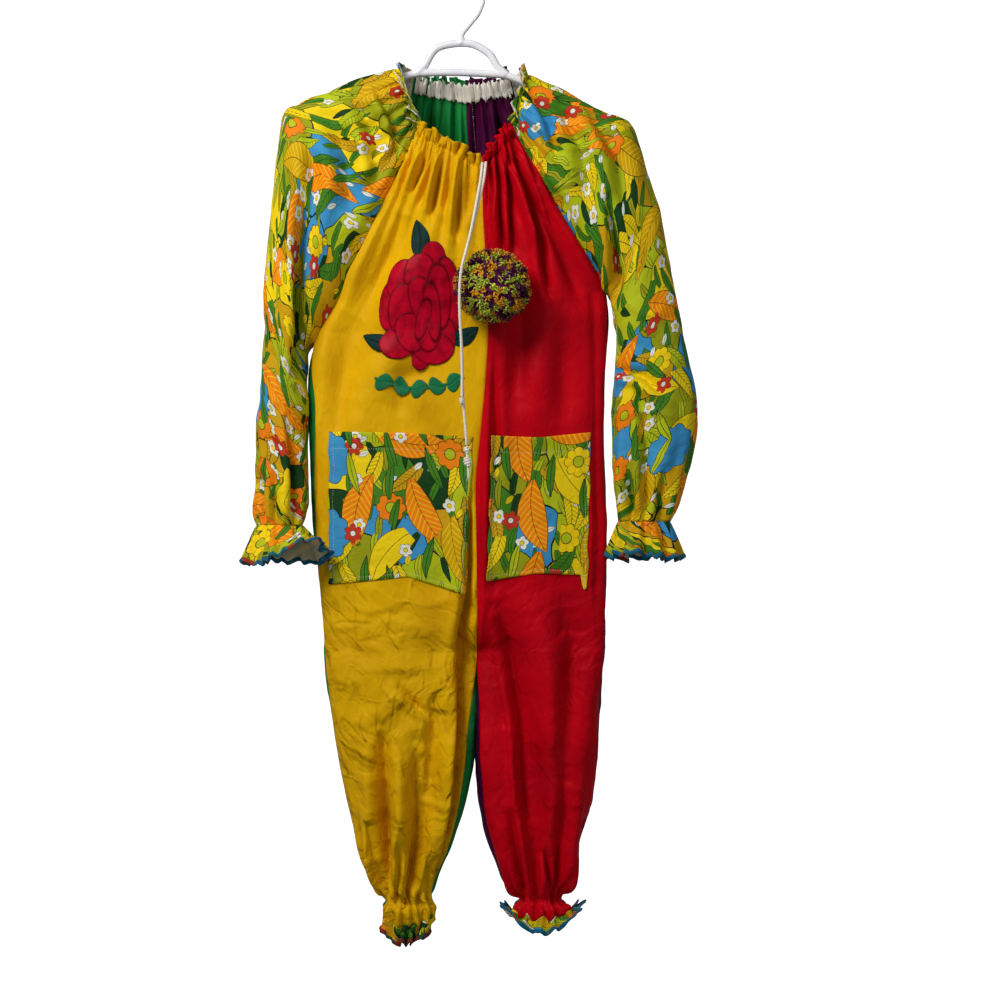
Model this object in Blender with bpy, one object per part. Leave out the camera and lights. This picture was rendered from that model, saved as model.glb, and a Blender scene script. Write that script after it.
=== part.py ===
"""A four-colour clown jumpsuit, hung on a plastic hanger.

The origin is the inside top of the hanger's hook. +Z is up and the front faces -Y, so the yellow front and
the green back are on the -X side. Sizes are in millimetres and are turned to metres as meshes are made.
"""
import math

import bmesh
import bpy
import numpy as np
from mathutils import Vector
from mathutils.bvhtree import BVHTree

METRE = 0.001  # metres in a millimetre

# Driving dimensions, in millimetres
CLOTH = 1.6  # wall of every cloth panel
RUFFLE_CLOTH = 1.3
SEAM_GAP = 0.36  # clear gap between pieces that are sewn together
CORNER_GAP, CORNER_LEAN = 0.6, 0.55  # where four edges meet: half the gap, and how far the wall leans
NECK_CROWD = 3.4
FRILL = 17.0  # standing frill above the neck casing
FRILL_FLARE = 2.5
FRILL_STAND = {"sleeve_left": 1.3, "sleeve_right": 1.0}  # how far the frill turns upright on the shoulders
CORD = 4.0  # diameter of the drawstring
HANGER_TUBE = 10.0
HOOK_WIRE = 7.0
HOOK_RADIUS = 31.5
POMPOM_RADIUS = 52.0
POMPOM_DEPTH = 37.0

# Gathers: full waves across each panel, which are also half its columns
FRONT_WAVES, BACK_WAVES, SLEEVE_WAVES = 8, 6, 10

# Rows of the body tables: the raglan rows end at the underarm, and the legs part at the crotch
UNDERARM, CROTCH = 8, 16
BODY_ROWS = (0, 1, 2, 3, 4, 5, 6, 7, 8, 9, 10, 11, 13, 14, 15, 16, 17, 18, 19, 21, 22, 23, 24, 25)
SLEEVE_ROWS = range(17)


def table(columns, *rows):
    """Columns by name, each an array down the rows."""
    names = columns.split()
    return {name: np.array([row[i] for row in rows], float) for i, name in enumerate(names)}


# How square the body's rings are, by row: 1 is an ellipse, less is flatter in front and behind
FLATNESS = ((0, 6, 8, 10, 14, 16, 18, 21, 24), (0.8, 0.8, 1.0, 0.7, 0.75, 1.0, 0.72, 0.8, 1.0))

# Raglan seams from the neck casing to the underarm: front and back edges of each sleeve
RAGLAN_LEFT = table(
    "front_x front_y front_z back_x back_y back_z",
    (-61.6, -30, -220.5, -67, 28, -139),
    (-68.6, -31, -237.3, -74, 30, -170),
    (-81.2, -31, -263.9, -86, 32, -210),
    (-96.6, -30, -294.7, -101, 32, -255),
    (-116.2, -28, -332.5, -119, 31, -305),
    (-135.8, -25, -375.9, -138, 28, -355),
    (-155.4, -20, -412.3, -158, 23, -405),
    (-171.5, -12, -452.0, -176, 13, -452),
    (-198.8, 0, -493.5, -198.8, 0, -493.5),
)
RAGLAN_RIGHT = table(
    "front_x front_y front_z back_x back_y back_z",
    (78.4, -30, -217.7, 74, 28, -143.5),
    (85.4, -31, -231.7, 82, 30, -170),
    (96.6, -31, -251.3, 95, 32, -204),
    (110.6, -30, -273.7, 111, 32, -242),
    (126.0, -28, -301.7, 130, 31, -285),
    (144.2, -25, -333.9, 150, 28, -328),
    (163.8, -20, -367.5, 171, 23, -370),
    (183.4, -12, -399.7, 189, 13, -405),
    (205.8, 0, -433.3, 205.8, 0, -433.3),
)

# Centre seams from the neck casing to the crotch. turn is how far each half's row has turned about its
# own side, in degrees: 90 is square to the centre seam, 180 is a closed leg.
CENTRE = table(
    "front_x front_z front_depth back_x back_z back_depth turn",
    (31.5, -271.0, 50, 8, -150, 42, 90),
    (31.8, -290.5, 50, 9, -188, 43, 90),
    (32.0, -313.0, 50, 11, -232, 43, 90),
    (33.0, -341.0, 50, 13, -277, 43, 90),
    (35.0, -373.0, 50, 15, -322, 43, 90),
    (36.5, -405.0, 49, 17, -366, 43, 90),
    (38.0, -436.0, 49, 19, -410, 42, 90),
    (39.0, -465.5, 48, 21, -452, 42, 90),
    (39.5, -493.5, 48, 23, -493.5, 42, 90),
    (37.0, -545.0, 48, 24, -545, 42, 90),
    (30.5, -620.0, 48, 24, -620, 42, 90),
    (23.0, -700.0, 48, 24, -700, 43, 90),
    (23.0, -770.0, 48, 24, -770, 44, 92),
    (24.0, -840.0, 48, 24, -840, 45, 101),
    (24.5, -885.0, 47, 24.5, -885, 45, 120),
    (24.5, -916.0, 46, 24.5, -916, 45, 148),
    (24.0, -937.0, 45, 24.0, -937, 45, 180),
)

# Side and leg rows from the underarm down, outer edge. wrap_out and wrap_in are the degrees by which the
# back comes round to the front at the side seam and at the inseam.
SIDE_LEFT = table(
    "x z wrap_out",
    (-198.8, -493.5, 0),
    (-210.0, -545.0, 9),
    (-211.0, -620.0, 16),
    (-208.0, -700.0, 12),
    (-204.5, -770.0, 10),
    (-197.4, -840.0, 5),
    (-192.0, -885.0, 4),
    (-190.0, -916.0, 4),
    (-189.0, -937.0, 4),
    (-186.2, -975.0, 5),
    (-177.8, -1040.0, 5),
    (-168.0, -1100.0, 5),
    (-155.4, -1160.0, 5),
    (-142.8, -1210.0, 4),
    (-130.2, -1250.0, 3),
    (-117.6, -1274.0, 2),
    (-103.6, -1291.0, 0),
    (-108.0, -1316.0, 0),
)
SIDE_RIGHT = table(
    "x z wrap_out",
    (205.8, -433.3, 0),
    (208.0, -500.0, 5),
    (200.0, -600.0, 5),
    (202.0, -690.0, 5),
    (205.4, -768.0, 5),
    (205.0, -840.0, 8),
    (203.0, -885.0, 12),
    (202.5, -916.0, 16),
    (201.6, -937.0, 19),
    (200.2, -975.0, 20),
    (196.0, -1040.0, 12),
    (190.8, -1100.0, 6),
    (180.6, -1160.0, 4),
    (165.2, -1210.0, 3),
    (157.5, -1250.0, 2),
    (151.0, -1270.0, 1),
    (142.8, -1286.0, 0),
    (150.0, -1307.0, 0),
)

# Inner edge of each leg from the crotch down, and the leg's half depth
INSEAM_LEFT = table(
    "x wrap_in depth",
    (24.0, 0, 45),
    (22.9, 6, 46),
    (20.6, 20, 45),
    (16.2, 26, 43),
    (6.0, 27, 41),
    (-9.0, 25, 38),
    (-30.0, 16, 34),
    (-39.0, 8, 31),
    (-42.0, 0, 28),
    (-37.0, 0, 32),
)
INSEAM_RIGHT = table(
    "x wrap_in depth",
    (24.0, 0, 45),
    (25.5, 5, 46),
    (23.4, 18, 45),
    (21.6, 26, 43),
    (26.0, 27, 41),
    (40.5, 24, 38),
    (56.5, 14, 34),
    (69.5, 6, 31),
    (84.0, 0, 28),
    (77.0, 0, 33),
)

# Ridge of each sleeve over the hanger, then the outer edge down to the wrist. bulge is the half depth.
RIDGE_LEFT = table(
    "x z bulge",
    (-86.0, -126.5, 3),
    (-120.4, -138.0, 8),
    (-154.0, -147.0, 14),
    (-189.0, -159.5, 20),
    (-219.8, -172.5, 26),
    (-243.0, -185.0, 32),
    (-251.0, -208.0, 38),
    (-254.5, -246.0, 42),
    (-260.4, -294.0, 45),
    (-268.0, -363.3, 47),
    (-273.7, -447.3, 48),
    (-275.8, -531.3, 48),
    (-279.3, -608.3, 46),
    (-282.8, -674.1, 42),
    (-282.8, -720.3, 36),
    (-280.7, -746.9, 31),
    (-277.2, -761.0, 26),
)
RIDGE_RIGHT = table(
    "x z bulge",
    (95.0, -133.0, 3),
    (120.0, -147.5, 8),
    (147.0, -159.0, 14),
    (178.0, -174.0, 20),
    (209.0, -189.0, 26),
    (238.0, -205.0, 30),
    (252.0, -237.3, 34),
    (263.2, -272.3, 37),
    (274.4, -311.5, 39),
    (288.4, -370.3, 40),
    (302.4, -433.3, 40),
    (315.0, -503.3, 40),
    (327.6, -576.1, 39),
    (326.9, -636.3, 37),
    (315.0, -688.1, 34),
    (302.4, -731.5, 29),
    (291.2, -756.7, 25),
)
# Inner edge of each sleeve, from the underarm to the wrist. y is where the sleeve's middle hangs.
UNDERSLEEVE_LEFT = table(
    "x y z",
    (-198.8, 0, -493.5),
    (-215.0, -3, -520.0),
    (-216.5, -6, -552.3),
    (-215.5, -10, -594.3),
    (-214.5, -14, -643.3),
    (-213.0, -18, -692.3),
    (-212.0, -22, -727.3),
    (-215.0, -25, -748.3),
    (-219.0, -28, -761.0),
)
UNDERSLEEVE_RIGHT = table(
    "x y z",
    (205.8, 0, -433.3),
    (214.8, -2, -458.5),
    (218.0, -4, -496.3),
    (215.5, -6, -548.1),
    (212.0, -8, -601.3),
    (211.5, -10, -650.3),
    (213.5, -12, -692.3),
    (217.0, -14, -731.5),
    (219.8, -15, -756.7),
)

# Depth of the gathers down each panel, by row: neck gathers, then those of the elastic
NECK_GATHER = table("row depth", (-1, 2.7), (0, 1.7), (1, 2.7), (2, 2.9), (3, 2.5), (4, 2.0), (5, 1.5),
                    (6, 1.0), (7, 0.5), (8, 0.0))
ANKLE_GATHER = table("row depth", (19, 0.0), (21, 1.2), (22, 3.0), (23, 4.2), (24, 1.8), (25, 4.0))
WRIST_GATHER = table("row depth", (11, 0.0), (13, 1.4), (14, 2.6), (15, 3.8), (16, 1.6))

# The largest folds: where across the panel each starts and ends, the rows it spans, its width as a share
# of the panel and its depth (a trough is negative)
FOLDS = {
    "front_left": table(
        "top bottom first last width depth",
        (0.86, 0.86, 10, 22, 0.10, -5.0),
        (0.62, 0.52, 16, 23, 0.09, -3.5),
        (0.30, 0.38, 12, 22, 0.10, -3.0),
        (0.14, 0.20, 4, 13, 0.09, 3.0),
    ),
    "front_right": table(
        "top bottom first last width depth",
        (0.24, 0.18, 3, 16, 0.09, -4.5),
        (0.55, 0.50, 2, 12, 0.10, -3.0),
        (0.62, 0.55, 15, 23, 0.12, -3.5),
        (0.84, 0.80, 5, 15, 0.10, -3.0),
    ),
    "back_left": table(
        "top bottom first last width depth",
        (0.30, 0.26, 3, 15, 0.12, -4.0),
        (0.62, 0.66, 4, 14, 0.12, -3.5),
        (0.48, 0.45, 16, 23, 0.12, -3.0),
    ),
    "back_right": table(
        "top bottom first last width depth",
        (0.72, 0.74, 3, 15, 0.12, -4.0),
        (0.40, 0.36, 4, 14, 0.12, -3.5),
        (0.50, 0.55, 16, 23, 0.12, -3.0),
    ),
    "sleeve_left": table(
        "top bottom first last width depth",
        (0.70, 0.72, 5, 12, 0.09, -9.0),
        (0.80, 0.66, 9, 15, 0.10, -5.0),
        (0.30, 0.28, 6, 14, 0.12, -4.0),
    ),
    "sleeve_right": table(
        "top bottom first last width depth",
        (0.30, 0.34, 5, 12, 0.10, -5.0),
        (0.22, 0.20, 9, 15, 0.10, -4.5),
        (0.72, 0.70, 6, 14, 0.12, -4.0),
    ),
}

# Ruffles past the elastic: middle and half width of the open edge, its drop and the wave at the edge.
# lifts is where the edge is turned up, in degrees from the side next to the body towards the front, and by
# how much.
RUFFLES = {
    "wrist_ruffle_left": dict(middle=(-240.0, -52.0), half=(56.0, 32.0), drop=49.0, wave=5.0,
                              lifts=((50, 22.0),)),
    "wrist_ruffle_right": dict(middle=(258.0, -16.0), half=(49.0, 31.0), drop=48.0, wave=5.0,
                               lifts=((60, 8.0),)),
    "ankle_ruffle_left": dict(middle=(-75.5, 0.0), half=(31.0, 33.0), drop=27.0, wave=4.0,
                              lifts=((20, 8.0), (180, 13.0))),
    "ankle_ruffle_right": dict(middle=(116.0, 0.0), half=(56.0, 43.0), drop=24.0, wave=2.0,
                               lifts=((0, 28.0), (180, 30.0))),
}
BINDING_HEIGHT, BINDING_WALL = 4.0, 2.2

PATCH_GAP = 1.2  # between a panel and the facing or pocket on it
FACING_REACH, FACING_WALL = 0.34, 1.0
POCKET_WALL = 1.3
POCKETS = {
    "pocket_left": dict(front="front_left",
                        corners=((-180.6, -632.0), (19.0, -640.0), (8.5, -857.0), (-182.0, -844.0))),
    "pocket_right": dict(front="front_right",
                         corners=((45.0, -638.0), (182.0, -638.0), (177.0, -831.0), (38.0, -839.0))),
}

# Applique: a rose with three leaves, and a garland of five leaves under it
ROSE = dict(x=-56.0, z=-461.0, half_width=52.0, half_height=86.0, lean=6.0, petals=9, scallop=0.09)
ROSE_POINTS = 36
ROSE_LEAVES = {
    "rose_leaf_top": dict(start=86, end=116, tip=(-59.0, -341.0), swell=0.22),
    "rose_leaf_left": dict(start=182, end=216, tip=(-134.5, -499.0), swell=0.16),
    "rose_leaf_right": dict(start=-32, end=-8, tip=(26.5, -489.0), swell=0.16),
}
GARLAND = dict(x=-56.0, z=-440.0, radius=133.0, first=244.0, last=297.0, leaves=5, stem=1.6, leaf=11.0,
               wall=1.4)

# Pompom on the centre front, with tufts of this length round its core
POMPOM_X, POMPOM_Z, TUFT = 46.0, -437.0, 9.0

# Free cords, from where each leaves the casing
DRAWSTRINGS = {
    "drawstring_long": (
        (36.5, -55.5, -263.0), (36.3, -60.0, -266.0), (35.6, -63.0, -274.0), (33.5, -67.0, -289.0),
        (29.5, -74.0, -309.0), (24.0, -83.0, -334.0), (17.5, -94.0, -362.0), (11.0, -105.0, -388.0),
        (5.5, -112.5, -409.0), (2.5, -116.0, -428.0), (1.5, -117.0, -450.0), (2.0, -117.2, -480.0),
        (4.0, -117.2, -512.0), (5.5, -117.2, -545.0), (5.8, -117.2, -575.0), (7.5, -117.2, -607.0),
        (10.0, -117.2, -636.0), (10.9, -117.2, -653.0),
    ),
    "drawstring_short": (
        (31.9, -55.5, -264.0), (31.6, -60.2, -267.0), (30.9, -64.2, -275.0), (29.1, -69.8, -290.0),
        (25.9, -78.2, -310.0), (21.6, -88.4, -335.0), (16.6, -99.4, -362.0), (10.8, -110.6, -388.0),
        (5.6, -117.6, -409.0), (2.6, -120.8, -428.0), (1.6, -121.8, -450.0), (2.0, -121.9, -480.0),
        (3.8, -121.9, -512.0), (4.8, -122.0, -545.0), (5.0, -122.4, -572.0), (4.8, -123.0, -588.0),
    ),
}
# Knots: x, y, z and radius of each ring, from the top down
KNOTS = {
    "drawstring_bead": dict(rings=(
        (4.7, -123.0, -588.4, 1.4), (4.5, -123.3, -591.0, 3.4), (4.5, -123.3, -595.5, 3.4),
        (4.7, -123.1, -598.5, 1.4))),
    "drawstring_knot": dict(rings=(
        (11.0, -117.2, -653.4, 1.6), (11.2, -117.2, -657.0, 3.8), (11.4, -117.2, -662.0, 4.0),
        (11.6, -117.2, -666.0, 2.6), (11.8, -117.2, -670.0, 5.8), (12.2, -117.2, -677.0, 6.2),
        (13.4, -117.2, -683.0, 3.6), (15.0, -117.2, -687.0, 2.2), (13.6, -117.2, -697.0, 2.0),
        (12.4, -117.2, -704.0, 2.1))),
}

# Hanger: the bow through both sleeves, the arch over it and the stem of the hook
HANGER_BOW = (
    (-228.0, 0, -191.5), (-206.0, 0, -179.5), (-180.6, 0, -168.0), (-154.0, 0, -158.5), (-123.0, 0, -149.0),
    (-85.0, 0, -136.0), (-60.0, 0, -130.0), (-28.0, 0, -128.5), (5.0, 0, -128.8), (40.0, 0, -130.5),
    (66.0, 0, -133.0), (95.0, 0, -144.5), (120.0, 0, -158.5), (147.0, 0, -170.5), (178.0, 0, -186.5),
    (203.0, 0, -200.5), (217.0, 0, -210.0),
)
HANGER_ARCH = (
    (-60.0, 0, -130.0), (-51.0, 0, -121.0), (-45.5, 0, -112.7), (-41.0, 0, -104.3), (-32.0, 0, -94.5),
    (-17.0, 0, -89.5), (0.0, 0, -87.5), (15.0, 0, -88.5), (27.0, 0, -93.0), (41.5, 0, -103.0),
    (47.6, 0, -112.7), (53.0, 0, -121.5), (64.0, 0, -132.5),
)
HOOK_STEM = (
    (1.4, 0, -81.9), (1.4, 0, -78.5), (3.4, 0, -73.5), (8.6, 0, -67.0), (16.4, 0, -57.5), (24.6, 0, -47.0),
)
HOOK_START, HOOK_END = -8, 172  # degrees round the hook, from its right

COLOURS = {
    "yellow": (0.80, 0.46, 0.010), "red": (0.60, 0.004, 0.012), "green": (0.010, 0.15, 0.035),
    "purple": (0.075, 0.006, 0.045), "cream": (0.80, 0.72, 0.58), "print": (0.45, 0.42, 0.06),
    "rose": (0.30, 0.004, 0.015), "leaf": (0.006, 0.045, 0.035), "stitch": (0.015, 0.26, 0.09),
    "teal": (0.02, 0.25, 0.30), "yarn": (0.32, 0.22, 0.06), "cord": (0.82, 0.76, 0.64),
    "plastic": (0.80, 0.80, 0.84),
}


# ---- small tools ------------------------------------------------------------------------------------

def read(column, row):
    """A table's column at fractional rows, on a smooth curve through its values."""
    row = np.asarray(row, float)
    i = np.clip(np.floor(row).astype(int), 0, len(column) - 2)
    t = row - i
    padded = np.concatenate(([2 * column[0] - column[1]], column, [2 * column[-1] - column[-2]]))
    a, b, c, d = padded[i], padded[i + 1], padded[i + 2], padded[i + 3]
    return b + 0.5 * t * (c - a + t * (2 * a - 5 * b + 4 * c - d + t * (3 * (b - c) + d - a)))


def two_part(first, second, split, row):
    """One value down a panel whose two stretches meet at row split, each on its own curve."""
    row = np.asarray(row, float)
    upper = read(first, np.minimum(row, split))
    lower = read(second, np.maximum(row, split) - split)
    return np.where(row <= split, upper, lower)


def unit(vectors):
    return vectors / np.maximum(np.linalg.norm(vectors, axis=-1, keepdims=True), 1e-9)


def lerp(a, b, t):
    return a + (b - a) * t


def material(name):
    found = bpy.data.materials.get(name)
    if found:
        return found
    made = bpy.data.materials.new(name)
    made.use_nodes = True
    shader = made.node_tree.nodes["Principled BSDF"]
    shader.inputs["Base Color"].default_value = (*COLOURS[name], 1)
    shader.inputs["Roughness"].default_value = 0.35 if name == "plastic" else 0.85
    return made


def add(name, points, faces, colour):
    """A named object from points in millimetres."""
    mesh = bpy.data.meshes.new(name)
    mesh.from_pydata([Vector(p) * METRE for p in points], [], faces)
    mesh.update()
    mesh.materials.append(material(colour))
    made = bpy.data.objects.new(name, mesh)
    bpy.context.scene.collection.objects.link(made)
    return made


# ---- cloth walls ------------------------------------------------------------------------------------

def grid_normals(points, closed=False):
    """Outward normal sums at each grid point. Rows run down and columns run round the outside."""
    rows, columns = points.shape[:2]
    total = np.zeros_like(points)
    last = columns if closed else columns - 1
    for j in range(last):
        k = (j + 1) % columns
        across = points[:, k] - points[:, j]
        down = points[1:] - points[:-1]
        for side in (j, k):
            face = np.cross(down[:, side], 0.5 * (across[1:] + across[:-1]))
            total[:-1, side] += face
            total[1:, side] += face
    return total


class Cloth:
    """A sheet of cloth as a grid of points through the middle of its wall."""

    def __init__(self, name, points, colour, wall=CLOTH, closed=False):
        self.name, self.points, self.colour = name, points, colour
        self.wall, self.closed = wall, closed
        self.sums = grid_normals(points, closed)
        self.set_normals = {}
        self.shifts = {}

    def normals(self):
        out = unit(self.sums)
        for place, direction in self.set_normals.items():
            out[place] = direction
        return out

    def layers(self):
        """Outer and inner faces of the wall, with seam edges drawn back by half the gap."""
        middle = self.points.copy()
        if not self.closed:
            for edge, inside in ((0, 1), (-1, -2)):
                toward = unit(self.points[:, inside] - self.points[:, edge])
                middle[:, edge] += toward * SEAM_GAP / 2
        for place, shift in self.shifts.items():
            middle[place] = self.points[place] + np.array(shift)
        normal = self.normals() * self.wall / 2
        return middle + normal, middle - normal

    def build(self):
        outer, inner = self.layers()
        rows, columns = outer.shape[:2]
        points = np.concatenate((outer.reshape(-1, 3), inner.reshape(-1, 3)))
        under = rows * columns
        faces = []

        def quad(a, b, c, d):
            faces.extend(((a, b, c), (a, c, d)))

        last = columns if self.closed else columns - 1
        for i in range(rows - 1):
            for j in range(last):
                k = (j + 1) % columns
                a, b, c, d = i * columns + j, (i + 1) * columns + j, (i + 1) * columns + k, i * columns + k
                faces.extend(((a, b, c), (a, c, d)))
                faces.extend(((a + under, c + under, b + under), (a + under, d + under, c + under)))
        for j in range(last):
            k = (j + 1) % columns
            quad(j, k, k + under, j + under)
            low = (rows - 1) * columns
            quad(low + j, low + j + under, low + k + under, low + k)
        if not self.closed:
            for i in range(rows - 1):
                a, b = i * columns, (i + 1) * columns
                quad(a, a + under, b + under, b)
                a, b = a + columns - 1, b + columns - 1
                quad(b + under, a + under, a, b)
        return add(self.name, points, faces, self.colour)


def share_normals(cloths):
    """Makes cloths that meet at a point lean the same way there, so their cut edges lie side by side."""
    met = {}
    for cloth in cloths:
        for place in np.ndindex(cloth.points.shape[:2]):
            key = tuple(np.round(cloth.points[place], 3))
            met.setdefault(key, []).append((cloth, place))
    for places in met.values():
        if len(places) > 1:
            total = sum(cloth.sums[place] for cloth, place in places)
            for cloth, place in places:
                cloth.set_normals[place] = unit(total)


# ---- the shape of the jumpsuit ----------------------------------------------------------------------

class Half:
    """One side of the body: where its rows run, from the raglan seam or side round to the centre."""

    def __init__(self, raglan, side, inseam, ridge, undersleeve):
        self.raglan, self.side, self.inseam = raglan, side, inseam
        self.ridge, self.undersleeve = ridge, undersleeve

    def edge(self, row, which):
        """Outer edge of the front or back: the raglan seam, then the side."""
        xyz = []
        for axis in "xyz":
            below = self.side[axis] if axis in self.side else np.zeros(len(self.side["x"]))
            xyz.append(two_part(self.raglan[f"{which}_{axis}"], below, UNDERARM, row))
        return np.stack(np.broadcast_arrays(*xyz), -1)

    def body(self, row, angle, which):
        """A point of the body's ring. angle is in radians from the outer edge: the front is positive."""
        row, angle = np.broadcast_arrays(np.asarray(row, float), angle)
        angle = np.where(angle < -math.pi, angle + 2 * math.pi, angle)
        edge = self.edge(row, which)
        in_front = angle >= 0
        half_depth = np.where(
            in_front,
            two_part(CENTRE["front_depth"], self.inseam["depth"], CROTCH, row),
            two_part(CENTRE["back_depth"], self.inseam["depth"], CROTCH, row))
        leg_z = self.side["z"][CROTCH - UNDERARM:]
        middle_x, middle_z = (
            np.where(in_front, two_part(CENTRE[f"front_{axis}"], leg, CROTCH, row),
                     two_part(CENTRE[f"back_{axis}"], leg, CROTCH, row))
            for axis, leg in (("x", self.inseam["x"]), ("z", leg_z)))
        end = np.radians(two_part(CENTRE["turn"], np.full(len(self.inseam["x"]), 180.0), CROTCH, row))
        # the fold at the outer edge is sharp at the underarm and round further down
        sharp = np.radians(np.interp(row, (0, UNDERARM, UNDERARM + 1, UNDERARM + 2), (24, 16, 5, 0)))
        # the legs part in a narrow vee under the crotch
        vee = np.interp(row, (CROTCH - 2, CROTCH, CROTCH + 3), (0.0, 0.5, 0.0))
        turned = np.minimum(np.abs(angle), end)
        leaned = sharp + turned * (1 - sharp / end)
        across = (np.cos(sharp) - np.cos(leaned)) / (np.cos(sharp) - np.cos(end))
        share = turned / end
        across = across - vee * share ** 2 * (1 - share)
        flat = np.interp(row, *FLATNESS)
        rise = np.maximum((np.sin(leaned) - np.sin(sharp)) / (1 - np.sin(sharp)), 0) ** flat
        x = lerp(edge[..., 0], middle_x, across)
        y = lerp(edge[..., 1], np.where(in_front, -half_depth, half_depth), rise)
        z = lerp(edge[..., 2], middle_z, across)
        return np.stack((x, y, z), -1)

    def front(self, row, u):
        """The front panel: u is 0 at its outer edge and 1 at the centre seam or inseam."""
        out, inner, end = self.wraps(row)
        return self.body(row, lerp(out, end - inner, u), "front")

    def back(self, row, u):
        """The back panel: u is 0 at its outer edge and 1 at the centre seam or inseam."""
        out, inner, end = self.wraps(row)
        return self.body(row, lerp(out, -(end + inner), u), "back")

    def wraps(self, row):
        zeros = np.zeros(UNDERARM + 1)
        out = two_part(zeros, self.side["wrap_out"], UNDERARM, row)
        inner = two_part(np.zeros(CROTCH + 1), self.inseam["wrap_in"], CROTCH, row)
        end = two_part(CENTRE["turn"], np.full(len(self.inseam["x"]), 180.0), CROTCH, row)
        return np.radians(out), np.radians(inner), np.radians(end)

    def sleeve(self, row, s):
        """The sleeve: s is 0 at its front seam, a half along its ridge and 1 at its back seam."""
        row, s = np.broadcast_arrays(np.asarray(row, float), s)
        crowd = np.interp(row, (0, 5), (NECK_CROWD, 1.0))  # the front is longer than the back at the neck
        s = s / (s + crowd * (1 - s))
        ends = []
        for which in ("front", "back"):
            xyz = [two_part(self.raglan[f"{which}_{axis}"], self.undersleeve[axis], UNDERARM, row)
                   for axis in "xyz"]
            ends.append(np.stack(xyz, -1))
        front, back = ends
        ridge = np.stack((read(self.ridge["x"], row), 0 * row, read(self.ridge["z"], row)), -1)
        roundness = np.interp(row, (0, UNDERARM), (1.1, 2.0))
        away = (1 - np.sin(math.pi * s) ** roundness)[..., None]
        chord = lerp(front, back, s[..., None])
        point = ridge + (chord - ridge) * away
        turn = (1 - np.cos(math.pi * s)) / 2
        bulge = read(self.ridge["bulge"], row)
        point[..., 1] = lerp(front[..., 1], back[..., 1], turn) - bulge * np.sin(2 * math.pi * s)
        return point


LEFT = Half(RAGLAN_LEFT, SIDE_LEFT, INSEAM_LEFT, RIDGE_LEFT, UNDERSLEEVE_LEFT)
RIGHT = Half(RAGLAN_RIGHT, SIDE_RIGHT, INSEAM_RIGHT, RIDGE_RIGHT, UNDERSLEEVE_RIGHT)


def depth_at(gather, row):
    return np.interp(row, gather["row"], gather["depth"])


def panel(name, surface, rows, waves, backwards, gathers):
    """The grid of one panel: its smooth surface, its gathers, its largest folds and its neck frill."""
    u = np.linspace(0, 1, 2 * waves + 1)
    rows = np.array(rows, float)
    grid = surface(rows[:, None], u[None, :])
    if backwards:
        grid, u = grid[:, ::-1], u[::-1]
    normal = unit(grid_normals(grid))
    column = np.arange(len(u))
    wave = np.where(column % 2, -1.0, 1.0) * (1 + 0.3 * np.sin(1.7 * column + waves))
    wave[0] = wave[-1] = 0
    lift = sum(np.outer(depth_at(gather, rows), wave) for gather in gathers)
    folds = FOLDS[name]
    for n in range(len(folds["top"])):
        first, last = folds["first"][n], folds["last"][n]
        along = np.clip((rows - first) / (last - first), 0, 1)
        place = lerp(folds["top"][n], folds["bottom"][n], along)
        near = np.exp(-((u[None, :] - place[:, None]) / folds["width"][n]) ** 2 * 2)
        off_seam = np.clip(np.minimum(u, 1 - u) * 12, 0, 1)
        lift = lift + folds["depth"][n] * np.outer(np.sin(math.pi * along), off_seam) * near
    grid = grid + normal * lift[..., None]
    # the frill stands on the casing row
    stand = FRILL_STAND.get(name, 0) * np.sin(math.pi * u)
    up = unit(unit(grid[0] - grid[1]) + stand[:, None] * np.array((0, 0, 1)))
    flare = unit(grid_normals(grid))[0] * FRILL_FLARE
    frill = grid[0] + up * FRILL + flare
    ripple = normal[0] * (depth_at(NECK_GATHER, -1) - depth_at(NECK_GATHER, 0)) * wave[:, None]
    edge = np.ones(len(u))
    edge[0] = edge[-1] = 0
    frill = np.where(edge[:, None] > 0, frill + ripple, grid[0] + up * FRILL)
    return np.concatenate((frill[None], grid))


def make_panels():
    body_gathers = (NECK_GATHER, ANKLE_GATHER)
    sleeve_gathers = (NECK_GATHER, WRIST_GATHER)
    made = {}
    for side, half in (("left", LEFT), ("right", RIGHT)):
        on_left = side == "left"
        front = panel(f"front_{side}", half.front, BODY_ROWS, FRONT_WAVES, not on_left, body_gathers)
        back = panel(f"back_{side}", half.back, BODY_ROWS, BACK_WAVES, on_left, body_gathers)
        sleeve = panel(f"sleeve_{side}", half.sleeve, SLEEVE_ROWS, SLEEVE_WAVES, on_left, sleeve_gathers)
        made[f"front_{side}"] = Cloth(f"front_{side}", front, "yellow" if on_left else "red")
        made[f"back_{side}"] = Cloth(f"back_{side}", back, "green" if on_left else "purple")
        made[f"sleeve_{side}"] = Cloth(f"sleeve_{side}", sleeve, "print")
    return made


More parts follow.
